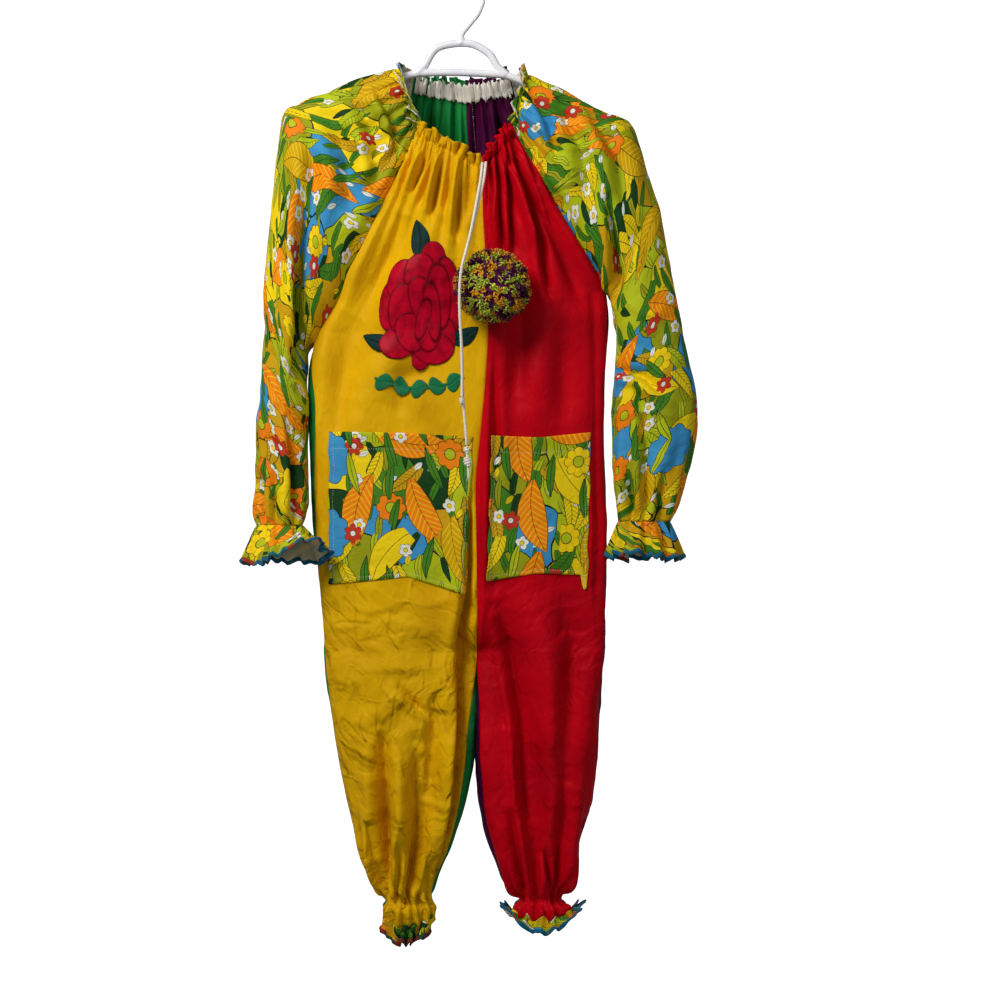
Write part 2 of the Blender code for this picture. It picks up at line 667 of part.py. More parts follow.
def set_corners(made):
    """The underarm and crotch points, where four edges meet at the bottom of a vee."""
    underarm, crotch = BODY_ROWS.index(UNDERARM) + 1, BODY_ROWS.index(CROTCH) + 1  # row 0 is the frill
    for side, out in (("left", -1), ("right", 1)):
        front, back, sleeve = (made[f"{piece}_{side}"] for piece in ("front", "back", "sleeve"))
        # columns run round the outside, so a front and its back start from opposite edges
        near, far = (0, -1) if side == "left" else (-1, 0)
        corners = (
            (front, (underarm, near), (-out, -1)),
            (back, (underarm, far), (-out, 1)),
            (sleeve, (underarm, far), (out, -1)),
            (sleeve, (underarm, near), (out, 1)),
            (front, (crotch, far), (out, -1)),
            (back, (crotch, near), (out, 1)),
        )
        for cloth, place, (x, y) in corners:
            cloth.set_normals[place] = unit(np.array((-x * CORNER_LEAN, 0, -1.0)))
            cloth.shifts[place] = (x * CORNER_GAP, y * SEAM_GAP / 2, 0)


def make_ruffle(name, ring, sums, style, angles, on_left):
    """A ruffle from a ring of points at the elastic to its open, waved edge."""
    x, y = style["middle"]
    half_x, half_y = style["half"]
    outward = np.stack((np.cos(angles) * (1 if on_left else -1), -np.sin(angles), 0 * angles), -1)
    edge = np.array((x, y, 0)) + outward * np.array((half_x, half_y, 0))
    column = np.arange(len(ring))
    wave = np.where(column % 2, -1.0, 1.0) * (1 + 0.3 * np.sin(2.3 * column))
    turned_up = sum(height * np.maximum(np.cos(angles - math.radians(at)), 0) ** 3
                    for at, height in style["lifts"])
    rows = [ring]
    for share in (0.35, 0.7, 1.0):
        spread = share ** 0.8
        level = ring[:, 2].mean() - style["drop"] + turned_up * max(0, (share - 0.35) / 0.65) / share
        row = lerp(ring, edge, spread)
        row[:, 2] = lerp(ring[:, 2], level, share) + 0.35 * style["wave"] * share * wave
        row += outward * (style["wave"] * share * wave)[:, None]
        rows.append(row)
    grid = np.stack(rows)
    cloth = Cloth(name, grid, "print", RUFFLE_CLOTH, closed=True)
    joined = unit(cloth.sums[0] + sums)
    for j in range(len(ring)):
        cloth.set_normals[(0, j)] = joined[j]
        cloth.shifts[(0, j)] = unit(grid[1, j] - grid[0, j]) * SEAM_GAP
    return cloth, joined


def make_binding(name, ruffle, colour):
    """A bound edge: a band just past the ruffle's open edge."""
    end = ruffle.points[-1]
    down = unit(end - ruffle.points[-2])
    across = ruffle.normals()[-1]
    start = end + down * SEAM_GAP
    grid = np.stack((start, start + down * BINDING_HEIGHT))
    band = Cloth(name, grid, colour, BINDING_WALL, closed=True)
    for j in range(len(end)):
        band.set_normals[(0, j)] = across[j]
        band.set_normals[(1, j)] = across[j]
    return band


def make_ends(made):
    """Ruffles and bindings at both wrists and both ankles."""
    out = []
    for side, on_left in (("left", True), ("right", False)):
        sleeve = made[f"sleeve_{side}"]
        s = np.linspace(0, 1, 2 * SLEEVE_WAVES + 1)
        if on_left:
            s = s[::-1]
        ring, sums = sleeve.points[-1, :-1], sleeve.sums[-1].copy()
        sums[0] += sums[-1]
        name = f"wrist_ruffle_{side}"
        ruffle, joined = make_ruffle(name, ring, sums[:-1], RUFFLES[name], 2 * math.pi * s[:-1], on_left)
        for j, direction in enumerate(joined):
            sleeve.set_normals[(len(sleeve.points) - 1, j)] = direction
        sleeve.set_normals[(len(sleeve.points) - 1, len(joined))] = joined[0]
        out += [ruffle, make_binding(f"wrist_binding_{side}", ruffle, "teal")]

        # the leg's ring is the front's columns, then the back's
        front, back = made[f"front_{side}"], made[f"back_{side}"]
        ring = np.concatenate((front.points[-1, :-1], back.points[-1, :-1]))
        sums = np.concatenate((front.sums[-1, :-1], back.sums[-1, :-1]))
        sums[0] += back.sums[-1, -1]
        sums[2 * FRONT_WAVES] += front.sums[-1, -1]
        turn_front = np.linspace(0, math.pi, 2 * FRONT_WAVES + 1)[:-1]
        turn_back = np.linspace(math.pi, 2 * math.pi, 2 * BACK_WAVES + 1)[:-1]
        turns = np.concatenate((turn_front, turn_back))
        # the leg's ring starts at its outer edge on the left and at its inner edge on the right
        angles = math.pi - turns
        if not on_left:
            angles = turns
        name = f"ankle_ruffle_{side}"
        ruffle, joined = make_ruffle(name, ring, sums, RUFFLES[name], angles, on_left)
        last = len(front.points) - 1
        count = 2 * FRONT_WAVES
        for j in range(count + 1):
            front.set_normals[(last, j)] = joined[j]
        for j in range(2 * BACK_WAVES + 1):
            back.set_normals[(last, j)] = joined[(count + j) % len(joined)]
        out += [ruffle, make_binding(f"ankle_binding_{side}", ruffle, "rose" if on_left else "teal")]
    return out


def make_facing(made):
    """The strip inside the back neck, from just under the frill's edge to below the casing."""
    right, left = made["back_right"].points, made["back_left"].points
    join = [np.concatenate((right[i, 1:], left[i, 1:-1])) for i in range(3)]
    frill, casing, below = join
    grid = np.stack((lerp(frill, casing, 0.1), casing, lerp(casing, below, FACING_REACH)))
    inward = CLOTH / 2 + PATCH_GAP + FACING_WALL / 2
    normals = [np.concatenate((made["back_right"].normals()[i, 1:], made["back_left"].normals()[i, 1:-1]))
               for i in range(3)]
    lean = np.stack((unit(lerp(normals[0], normals[1], 0.1)), normals[1],
                     unit(lerp(normals[1], normals[2], FACING_REACH))))
    return Cloth("neck_facing", grid - lean * inward, "cream", FACING_WALL)


# ---- what lies on the fronts ------------------------------------------------------------------------

def make_pocket(name, front, corners):
    """A patch pocket on its front's own points. corners is x, z of each, from top left, clockwise."""
    top_left, top_right, low_right, low_left = [np.array(corner) for corner in corners]
    points, normals = front.points, front.normals()
    rows, columns = points.shape[:2]
    levels = points[:, columns // 2, 2]

    def row_at(z):
        return np.interp(-z, -levels, np.arange(rows))

    first, last = row_at((top_left + top_right)[1] / 2), row_at((low_left + low_right)[1] / 2)
    stops = [first, *range(int(first) + 1, int(np.ceil(last))), last]
    grid, lean, edges = [], [], []
    for stop in stops:
        i = min(int(stop), rows - 2)
        t = stop - i
        share = (stop - first) / (last - first)
        line = lerp(points[i], points[i + 1], t)
        across = [np.interp(lerp(a, b, share)[0], line[:, 0], np.arange(columns))
                  for a, b in ((top_left, low_left), (top_right, low_right))]
        edges.append(across)
        grid.append(line)
        lean.append(unit(lerp(normals[i], normals[i + 1], t)))
    inside = range(int(max(edge[0] for edge in edges)) + 1, int(np.ceil(min(edge[1] for edge in edges))))
    placed = []
    for line, direction, (start, end) in zip(grid, lean, edges):
        at = np.array([start, *inside, end])
        j = np.minimum(at.astype(int), columns - 2)
        t = (at - j)[:, None]
        out = unit(lerp(direction[j], direction[j + 1], t))
        lift = CLOTH / 2 + PATCH_GAP + POCKET_WALL / 2
        placed.append(lerp(line[j], line[j + 1], t) + out * lift)
    return Cloth(name, np.stack(placed), "print", POCKET_WALL)


class Ground:
    """The outside of a front, for laying an applique on it."""

    def __init__(self, made):
        mesh = made.data
        points = [vertex.co / METRE for vertex in mesh.vertices]
        self.tree = BVHTree.FromPolygons(points, [tuple(face.vertices) for face in mesh.polygons])

    def front_of(self, x, z, reach=9.0):
        """The y just clear of everything within reach of a point."""
        nearest = []
        for share in (0.0, 0.5, 1.0):
            for turn in range(8):
                dx, dz = math.cos(turn * math.pi / 4), math.sin(turn * math.pi / 4)
                start = Vector((x + dx * reach * share, -400, z + dz * reach * share))
                hit = self.tree.ray_cast(start, Vector((0, 1, 0)))
                if hit[0]:
                    nearest.append(hit[0].y)
        return min(nearest) - SEAM_GAP


def make_plate(name, outline, centre, ground, heights, colour):
    """A padded applique: rings from its outline to its middle, raised on the outside.

    heights has the rise at each ring, from the rim to the middle."""
    outline, centre = np.array(outline, float), np.array(centre, float)
    count, rings = len(outline), len(heights) - 1
    under, over = [], []
    for ring in range(rings):
        for x, z in lerp(outline, centre, ring / rings):
            y = ground.front_of(x, z)
            under.append((x, y, z))
            over.append((x, y - heights[ring], z))
    y = ground.front_of(*centre)
    under.append((centre[0], y, centre[1]))
    over.append((centre[0], y - heights[-1], centre[1]))
    points, shift = over + under, len(over)
    faces = []
    for j in range(count):
        k = (j + 1) % count
        faces += [(k, j, j + shift), (k, j + shift, k + shift)]
        for ring in range(rings - 1):
            a, b = ring * count + j, ring * count + k
            c, d = b + count, a + count
            faces += [(a, b, c), (a, c, d)]
            faces += [(a + shift, c + shift, b + shift), (a + shift, d + shift, c + shift)]
        a, b = (rings - 1) * count + j, (rings - 1) * count + k
        faces += [(a, b, shift - 1), (a + shift, 2 * shift - 1, b + shift)]
    # the outline runs anticlockwise as seen from the front, so the rim's faces point outwards
    return add(name, points, faces, colour)


def rose_outline(angle, grow=1.0):
    """The rose's edge: an egg that leans to one side, with a scallop for each outer petal."""
    petals = 1 + ROSE["scallop"] * (abs(math.cos(angle * ROSE["petals"] / 2 + 0.5)) - 0.6)
    narrow = 1 - 0.10 * math.sin(angle)
    x = ROSE["x"] + ROSE["half_width"] * math.cos(angle) * narrow * petals * grow
    z = ROSE["z"] + ROSE["half_height"] * math.sin(angle) * petals * grow
    return x + ROSE["lean"] * math.sin(angle), z


def leaf_outline(start, end, tip, swell):
    """A leaf that grows from the rose's edge, between two angles in degrees, out to its tip."""
    base = [np.array(rose_outline(math.radians(lerp(start, end, t)), 1.05)) for t in (1, 0.5, 0)]
    tip = np.array(tip)
    sides = []
    for corner in (base[2], base[0]):
        line = tip - corner
        bow = np.array((line[1], -line[0])) * swell
        sides.append([corner + line * t + bow * math.sin(math.pi * t) for t in (0.3, 0.6, 0.85)])
        swell = -swell
    # from the base, anticlockwise: out along one side to the tip and back along the other
    return base + sides[0] + [tip] + sides[1][::-1]


def make_appliques(ground):
    angles = [2 * math.pi * j / ROSE_POINTS for j in range(ROSE_POINTS)]
    edge = [rose_outline(angle) for angle in angles]
    make_plate("rose_flower", edge, (ROSE["x"], ROSE["z"]), ground, (1.6, 3.0, 2.4, 3.6), "rose")
    for name, leaf in ROSE_LEAVES.items():
        outline = leaf_outline(leaf["start"], leaf["end"], leaf["tip"], leaf["swell"])
        centre = np.mean(outline, axis=0)
        make_plate(name, outline, centre, ground, (1.2, 2.2), "leaf")

    # a garland: a stem on an arc that swells into a leaf at even steps
    count = 6 * GARLAND["leaves"] + 1
    share = np.linspace(0, 1, count)
    angle = np.radians(lerp(GARLAND["first"], GARLAND["last"], share))
    swell = np.abs(np.sin(math.pi * GARLAND["leaves"] * share)) ** 1.3
    half = GARLAND["stem"] + GARLAND["leaf"] * swell
    grid = []
    for side in (-1, 0, 1):
        radius = GARLAND["radius"] + side * half
        x = GARLAND["x"] + radius * np.cos(angle)
        z = GARLAND["z"] + radius * np.sin(angle)
        y = [ground.front_of(a, b, 6.0) - GARLAND["wall"] / 2 for a, b in zip(x, z)]
        grid.append(np.stack((x, y, z), -1))
    Cloth("leaf_garland", np.stack(grid), "stitch", GARLAND["wall"]).build()


# ---- pompom and drawstring --------------------------------------------------------------------------

def make_pompom(ground):
    """A core with a short lock of yarn on every other facet, flat where it meets the cloth."""
    mesh = bmesh.new()
    bmesh.ops.create_icosphere(mesh, subdivisions=3, radius=1)
    mesh.faces.ensure_lookup_table()
    tufts = []
    for face in mesh.faces:
        neighbours = {other.index for edge in face.edges for other in edge.link_faces}
        if not neighbours & {tuft.index for tuft in tufts}:
            tufts.append(face)
    core = (POMPOM_RADIUS - TUFT) / POMPOM_RADIUS
    for vertex in mesh.verts:
        vertex.co *= core
    tufts = [face for face in tufts if face.calc_center_median().y < 0.55]
    for n, face in enumerate(tufts):
        middle = face.calc_center_median().normalized()
        out = bmesh.ops.extrude_discrete_faces(mesh, faces=[face])
        fresh = list(out["faces"][0].verts)
        length = 1 + 0.05 * math.sin(2.7 * n)
        centre = sum((vertex.co for vertex in fresh), Vector()) / 3
        for vertex in fresh:
            vertex.co = middle * length + (vertex.co - centre) * 0.62
    back = ground.front_of(POMPOM_X, POMPOM_Z, 30.0) - 0.4
    centre_y = back - POMPOM_DEPTH * 0.86
    for vertex in mesh.verts:
        x = POMPOM_X + vertex.co.x * POMPOM_RADIUS
        y = min(centre_y + vertex.co.y * POMPOM_DEPTH, back)
        z = POMPOM_Z + vertex.co.z * POMPOM_RADIUS
        vertex.co = Vector((x, y, z)) * METRE
    data = bpy.data.meshes.new("pompom")
    mesh.to_mesh(data)
    mesh.free()
    data.materials.append(material("yarn"))
    bpy.context.scene.collection.objects.link(bpy.data.objects.new("pompom", data))


def smooth_path(points, spacing):
    """Even steps along a smooth curve through a cord's points."""
    points = np.array(points, float)
    fine = np.linspace(0, len(points) - 1, 40 * len(points))
    curve = np.stack([read(points[:, axis], fine) for axis in range(3)], -1)
    run = np.concatenate(([0], np.cumsum(np.linalg.norm(np.diff(curve, axis=0), axis=1))))
    at = np.linspace(0, run[-1], max(2, round(run[-1] / spacing)) + 1)
    return np.stack([np.interp(at, run, curve[:, axis]) for axis in range(3)], -1)


def add_tube(name, path, diameter, colour, resolution=2):
    """A round cord or bar: a bevelled curve with closed ends."""
    curve = bpy.data.curves.new(name, "CURVE")
    curve.dimensions = "3D"
    spline = curve.splines.new("POLY")
    spline.points.add(len(path) - 1)
    for point, place in zip(spline.points, path):
        point.co = (*(Vector(place) * METRE), 1)
    curve.bevel_depth = diameter / 2 * METRE
    curve.bevel_resolution = resolution
    curve.use_fill_caps = True
    curve.materials.append(material(colour))
    made = bpy.data.objects.new(name, curve)
    bpy.context.scene.collection.objects.link(made)
    return made


def add_beads(name, path, radii, colour, sides=8):
    """Knots and a tail in one piece: a tube whose radius swells along its path."""
    path = np.array(path, float)
    points, faces = [], []
    for place, radius in zip(path, radii):
        for j in range(sides):
            turn = 2 * math.pi * j / sides
            points.append(place + np.array((math.cos(turn), math.sin(turn), 0)) * radius)
    for i in range(len(path) - 1):
        for j in range(sides):
            k = (j + 1) % sides
            a, b = i * sides + j, i * sides + k
            c, d = b + sides, a + sides
            faces += [(a, c, b), (a, d, c)]
    last = (len(path) - 1) * sides
    points += [path[0], path[-1]]
    top, low = len(points) - 2, len(points) - 1
    for j in range(sides):
        k = (j + 1) % sides
        faces += [(top, j, k), (low, last + k, last + j)]
    return add(name, points, faces, colour)


def make_drawstring():
    for name, route in DRAWSTRINGS.items():
        add_tube(name, smooth_path(route, 3.0 * CORD), CORD, "cord")
    for name, knots in KNOTS.items():
        path = [(x, y, z) for x, y, z, _ in knots["rings"]]
        add_beads(name, path, [ring[3] for ring in knots["rings"]], "cord")


# ---- hanger -----------------------------------------------------------------------------------------

def make_hanger():
    bow = add_tube("hanger_frame", smooth_path(HANGER_BOW, 14.0), HANGER_TUBE, "plastic")
    arch = add_tube("hanger_arch", smooth_path(HANGER_ARCH, 10.0), HANGER_TUBE * 0.96, "plastic")
    for made in (bow, arch):
        bpy.ops.object.select_all(action="DESELECT")
        made.select_set(True)
        bpy.context.view_layer.objects.active = made
        bpy.ops.object.convert(target="MESH")
    union = bow.modifiers.new("join", "BOOLEAN")
    union.operation, union.solver, union.object = "UNION", "EXACT", arch
    bpy.ops.object.select_all(action="DESELECT")
    bow.select_set(True)
    bpy.context.view_layer.objects.active = bow
    bpy.ops.object.modifier_apply(modifier=union.name)
    bpy.data.objects.remove(arch)

    middle_z = HOOK_WIRE / 2 - HOOK_RADIUS  # the inside top of the hook is the origin
    turns = np.radians(np.linspace(HOOK_START, HOOK_END, 22))
    arc = [(HOOK_RADIUS * math.cos(a), 0, middle_z + HOOK_RADIUS * math.sin(a)) for a in turns]
    stem = smooth_path([*HOOK_STEM, arc[0]], 9.0)[:-1]
    add_tube("hanger_hook", [*stem, *arc], HOOK_WIRE, "plastic")


def main():
    for old in list(bpy.data.objects):
        bpy.data.objects.remove(old)
    made = make_panels()
    share_normals(made.values())
    set_corners(made)
    ends = make_ends(made)
    facing = make_facing(made)
    pockets = [make_pocket(name, made[patch["front"]], patch["corners"]) for name, patch in POCKETS.items()]
    built = {cloth.name: cloth.build() for cloth in (*made.values(), *ends, facing, *pockets)}
    make_appliques(Ground(built["front_left"]))
    make_pompom(Ground(built["front_right"]))
    make_drawstring()
    make_hanger()


main()
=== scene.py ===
# A four-colour clown jumpsuit on a plastic hanger: the looks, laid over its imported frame.
# The origin is the inside top of the hanger's hook, +Z is up and the front faces -Y.
# The tables are in millimetres and are turned to metres when a mesh is made.
import math

import bmesh
import bpy
import numpy as np
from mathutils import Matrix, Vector
from mathutils.bvhtree import BVHTree


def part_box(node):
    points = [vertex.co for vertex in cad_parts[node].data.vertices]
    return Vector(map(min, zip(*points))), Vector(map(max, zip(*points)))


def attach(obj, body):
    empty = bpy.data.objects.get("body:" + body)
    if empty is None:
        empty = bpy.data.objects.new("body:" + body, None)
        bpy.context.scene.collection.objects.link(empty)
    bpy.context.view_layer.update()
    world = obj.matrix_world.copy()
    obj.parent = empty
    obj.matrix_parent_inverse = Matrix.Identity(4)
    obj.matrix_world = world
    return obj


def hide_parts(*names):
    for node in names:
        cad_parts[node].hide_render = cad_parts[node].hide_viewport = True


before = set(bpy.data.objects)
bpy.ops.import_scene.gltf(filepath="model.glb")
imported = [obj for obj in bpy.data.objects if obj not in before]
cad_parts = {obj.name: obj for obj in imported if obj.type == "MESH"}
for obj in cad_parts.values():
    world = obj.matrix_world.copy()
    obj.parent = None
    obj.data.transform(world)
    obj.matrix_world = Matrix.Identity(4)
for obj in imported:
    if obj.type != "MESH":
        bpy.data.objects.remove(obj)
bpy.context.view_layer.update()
mm = 0.001
print("frame loaded:", len(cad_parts), "nodes")

# the camera stands level, three metres in front
view = {"place": (0.056, -3.0, -0.727), "lens": 77.14}
bpy.ops.object.camera_add(location=view["place"], rotation=(math.radians(90), 0, 0))
camera = bpy.context.object
camera.data.lens = view["lens"]
camera.data.clip_end = 50
bpy.context.scene.camera = camera


# small sums used all through

def table(columns, *rows):
    names = columns.split()
    return {name: np.array([row[i] for row in rows], float) for i, name in enumerate(names)}


def readColumn(column, row):
    # a smooth curve through the column's values, at fractional rows
    row = np.asarray(row, float)
    i = np.clip(np.floor(row).astype(int), 0, len(column) - 2)
    t = row - i
    padded = np.concatenate(([2 * column[0] - column[1]], column, [2 * column[-1] - column[-2]]))
    a, b, c, d = padded[i], padded[i + 1], padded[i + 2], padded[i + 3]
    return b + 0.5 * t * (c - a + t * (2 * a - 5 * b + 4 * c - d + t * (3 * (b - c) + d - a)))


def twoPart(first, second, split, row):
    row = np.asarray(row, float)
    upper = readColumn(first, np.minimum(row, split))
    lower = readColumn(second, np.maximum(row, split) - split)
    return np.where(row <= split, upper, lower)


def unit(vectors):
    return vectors / np.maximum(np.linalg.norm(vectors, axis=-1, keepdims=True), 1e-9)


def lerp(a, b, t):
    return a + (b - a) * t


def smooth(low, high, value):
    t = np.clip((value - low) / (high - low), 0, 1)
    return t * t * (3 - 2 * t)


def swell(at, size, seed, count=6):
    # slow uneven rise and fall between about -1 and 1; at is one number or x, y on the cloth
    made = np.random.default_rng(seed)
    at = np.asarray(at, float)
    total = 0
    for n in range(count):
        length, phase, turn = size * made.uniform(0.6, 1.7), made.uniform(0, 6.28), made.uniform(0, math.pi)
        along = at[..., 0] * math.cos(turn) + at[..., 1] * math.sin(turn) if at.ndim > 2 else at
        total = total + np.sin(2 * math.pi * along / length + phase)
    return total / math.sqrt(count)


def crumple(at, size, seed, count=9):
    # straight sharp creases that cross each other, as in cotton that has been packed away
    made = np.random.default_rng(seed)
    total = 0
    for n in range(count):
        turn, length = made.uniform(0, math.pi), size * made.uniform(0.7, 1.9)
        along = at[..., 0] * math.cos(turn) + at[..., 1] * math.sin(turn)
        beside = at[..., 1] * math.cos(turn) - at[..., 0] * math.sin(turn)
        bend = 0.22 * np.sin(2 * math.pi * beside / (length * made.uniform(2.0, 3.5)) + made.uniform(0, 6.28))
        patch = smooth(-0.1, 0.7, np.sin(2 * math.pi * beside / (length * 2.7) + made.uniform(0, 6.28)))
        wave = np.abs(((along / length + bend + made.uniform()) % 1) * 2 - 1)
        total = total + (wave ** 1.6 * 2 - 0.8) * patch * length / size
    return total / math.sqrt(count)


def runAlong(path):
    # how far along a path each of its points is
    return np.concatenate(([0], np.cumsum(np.linalg.norm(np.diff(path, axis=0), axis=1))))


def windows(field):
    # the field and its eight neighbours
    padded = np.pad(field, 1, mode="edge")
    rows, columns = field.shape
    return [padded[i:i + rows, j:j + columns] for i in range(3) for j in range(3)]


# objects and meshes

def newObject(name, points, faces, finish, places=None, rounded=True):
    # points and places are in millimetres; places is where each point lies on the flat material
    mesh = bpy.data.meshes.new(name)
    mesh.from_pydata((points * mm).tolist(), [], faces)
    if places is not None:
        uv = mesh.uv_layers.new(name="UVMap")
        loops = np.zeros(len(mesh.loops), np.int32)
        mesh.loops.foreach_get("vertex_index", loops)
        uv.data.foreach_set("uv", (places * mm)[loops].reshape(-1).astype(np.float32))
    mesh.materials.append(finish)
    if rounded:
        mesh.polygons.foreach_set("use_smooth", np.ones(len(faces), bool))
    made = bpy.data.objects.new(name, mesh)
    bpy.context.scene.collection.objects.link(made)
    return made


def faceOutward(mesh, merge=0.0):
    tidy = bmesh.new()
    tidy.from_mesh(mesh)
    if merge:
        bmesh.ops.remove_doubles(tidy, verts=tidy.verts, dist=merge)
    bmesh.ops.recalc_face_normals(tidy, faces=tidy.faces)
    tidy.to_mesh(mesh)
    tidy.free()


def selectOnly(objects):
    bpy.ops.object.select_all(action="DESELECT")
    for made in objects:
        made.select_set(True)
    bpy.context.view_layer.objects.active = objects[0]


def settle(made, slot, *nodes):
    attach(made, "root")
    if nodes:
        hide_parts(*nodes)


def pieceName(node, material):
    return node.replace("_", ".") + "." + material


# shader sums: a socket that can stand in a Python expression

class Wire:
    def __init__(self, paint, socket):
        self.paint, self.socket = paint, socket

    def __getitem__(self, name):
        return Wire(self.paint, self.socket.node.outputs[name])

    def sum(self, operation, *others):
        return self.paint.sum(operation, self, *others)

    def __add__(self, other):
        return self.sum("ADD", other)

    def __sub__(self, other):
        return self.sum("SUBTRACT", other)

    def __mul__(self, other):
        return self.sum("MULTIPLY", other)

    def __truediv__(self, other):
        return self.sum("DIVIDE", other)

    def __radd__(self, other):
        return self.paint.sum("ADD", other, self)

    def __rsub__(self, other):
        return self.paint.sum("SUBTRACT", other, self)

    def __rmul__(self, other):
        return self.paint.sum("MULTIPLY", other, self)

    def less(self, other):
        return self.sum("LESS_THAN", other)

    def more(self, other):
        return self.sum("GREATER_THAN", other)

    def least(self, other):
        return self.sum("MINIMUM", other)

    def most(self, other):
        return self.sum("MAXIMUM", other)

    def size(self):
        return self.sum("ABSOLUTE")

    def sin(self):
        return self.sum("SINE")

    def cos(self):
        return self.sum("COSINE")

    def part(self):
        return self.sum("FRACT")

    def between(self, low, high):
        return self.paint.node("MapRange", {"interpolation_type": "SMOOTHSTEP"},
                               {"Value": self, "From Min": low, "From Max": high})


class Paint:
    # a material and the nodes that feed its one shader
    def __init__(self, name, **finish):
        self.material = bpy.data.materials.new(name)
        self.material.use_nodes = True
        self.tree = self.material.node_tree
        self.shader = self.tree.nodes["Principled BSDF"]
        self.relief = None
        for key, value in finish.items():
            self.shader.inputs[key.replace("_", " ")].default_value = value

    def node(self, kind, settings=None, sockets=None):
        made = self.tree.nodes.new("ShaderNode" + kind)
        for key, value in (settings or {}).items():
            if key == "stops":
                ramp = made.color_ramp
                ramp.elements.remove(ramp.elements[-1])
                for n, (place, colour) in enumerate(value):
                    stop = ramp.elements[0] if n == 0 else ramp.elements.new(place)
                    stop.position, stop.color = place, (*colour, 1)
            elif key == "step":
                made.color_ramp.interpolation = value
            else:
                setattr(made, key, value)
        for key, value in (sockets or {}).items():
            if isinstance(value, Wire):
                self.tree.links.new(value.socket, made.inputs[key])
            else:
                wide = made.inputs[key].type == "RGBA" and len(value) == 3
                made.inputs[key].default_value = (*value, 1) if wide else value
        return Wire(self, made.outputs[0])

    def sum(self, operation, *values):
        return self.node("Math", {"operation": operation}, dict(enumerate(values)))

    def shift(self, operation, *values):
        return self.node("VectorMath", {"operation": operation}, dict(enumerate(values)))

    def mix(self, share, under, over):
        return self.node("Mix", {"data_type": "RGBA"}, {0: share, 6: under, 7: over})[2]

    def uv(self):
        return self.node("TexCoord")["UV"]

    def place(self):
        return self.node("TexCoord")["Object"]

    def grain(self, at, pitch, detail=3.0, rough=0.5):
        return self.node("TexNoise", None, {"Vector": at, "Scale": 1 / pitch, "Detail": detail,
                                            "Roughness": rough})

    def tones(self, share, *stops, step="CONSTANT"):
        return self.node("ValToRGB", {"stops": stops, "step": step}, {0: share})

    def raise_by(self, height, distance, strength=1.0):
        sockets = {"Height": height, "Distance": distance, "Strength": strength}
        if self.relief:
            sockets["Normal"] = self.relief
        self.relief = self.node("Bump", None, sockets)

    def done(self, colour, rough=None):
        self.tree.links.new(colour.socket, self.shader.inputs["Base Color"])
        if isinstance(rough, Wire):
            self.tree.links.new(rough.socket, self.shader.inputs["Roughness"])
        elif rough:
            self.shader.inputs["Roughness"].default_value = rough
        if self.relief:
            self.tree.links.new(self.relief.socket, self.shader.inputs["Normal"])
        return self.material


def rgb(red, green, blue):
    return tuple((c / 255) ** 2.2 for c in (red, green, blue))


def addWeave(paint, uv, pitch=0.00075, depth=0.00004):
    # plain weave: one thread over, one under
    split = paint.node("SeparateXYZ", None, {0: uv})
    warp = (split["X"] * (math.pi / pitch)).sin()
    weft = (split["Y"] * (math.pi / pitch)).sin()
    thread = warp * weft
    paint.raise_by(thread, depth, 0.5)
    return thread


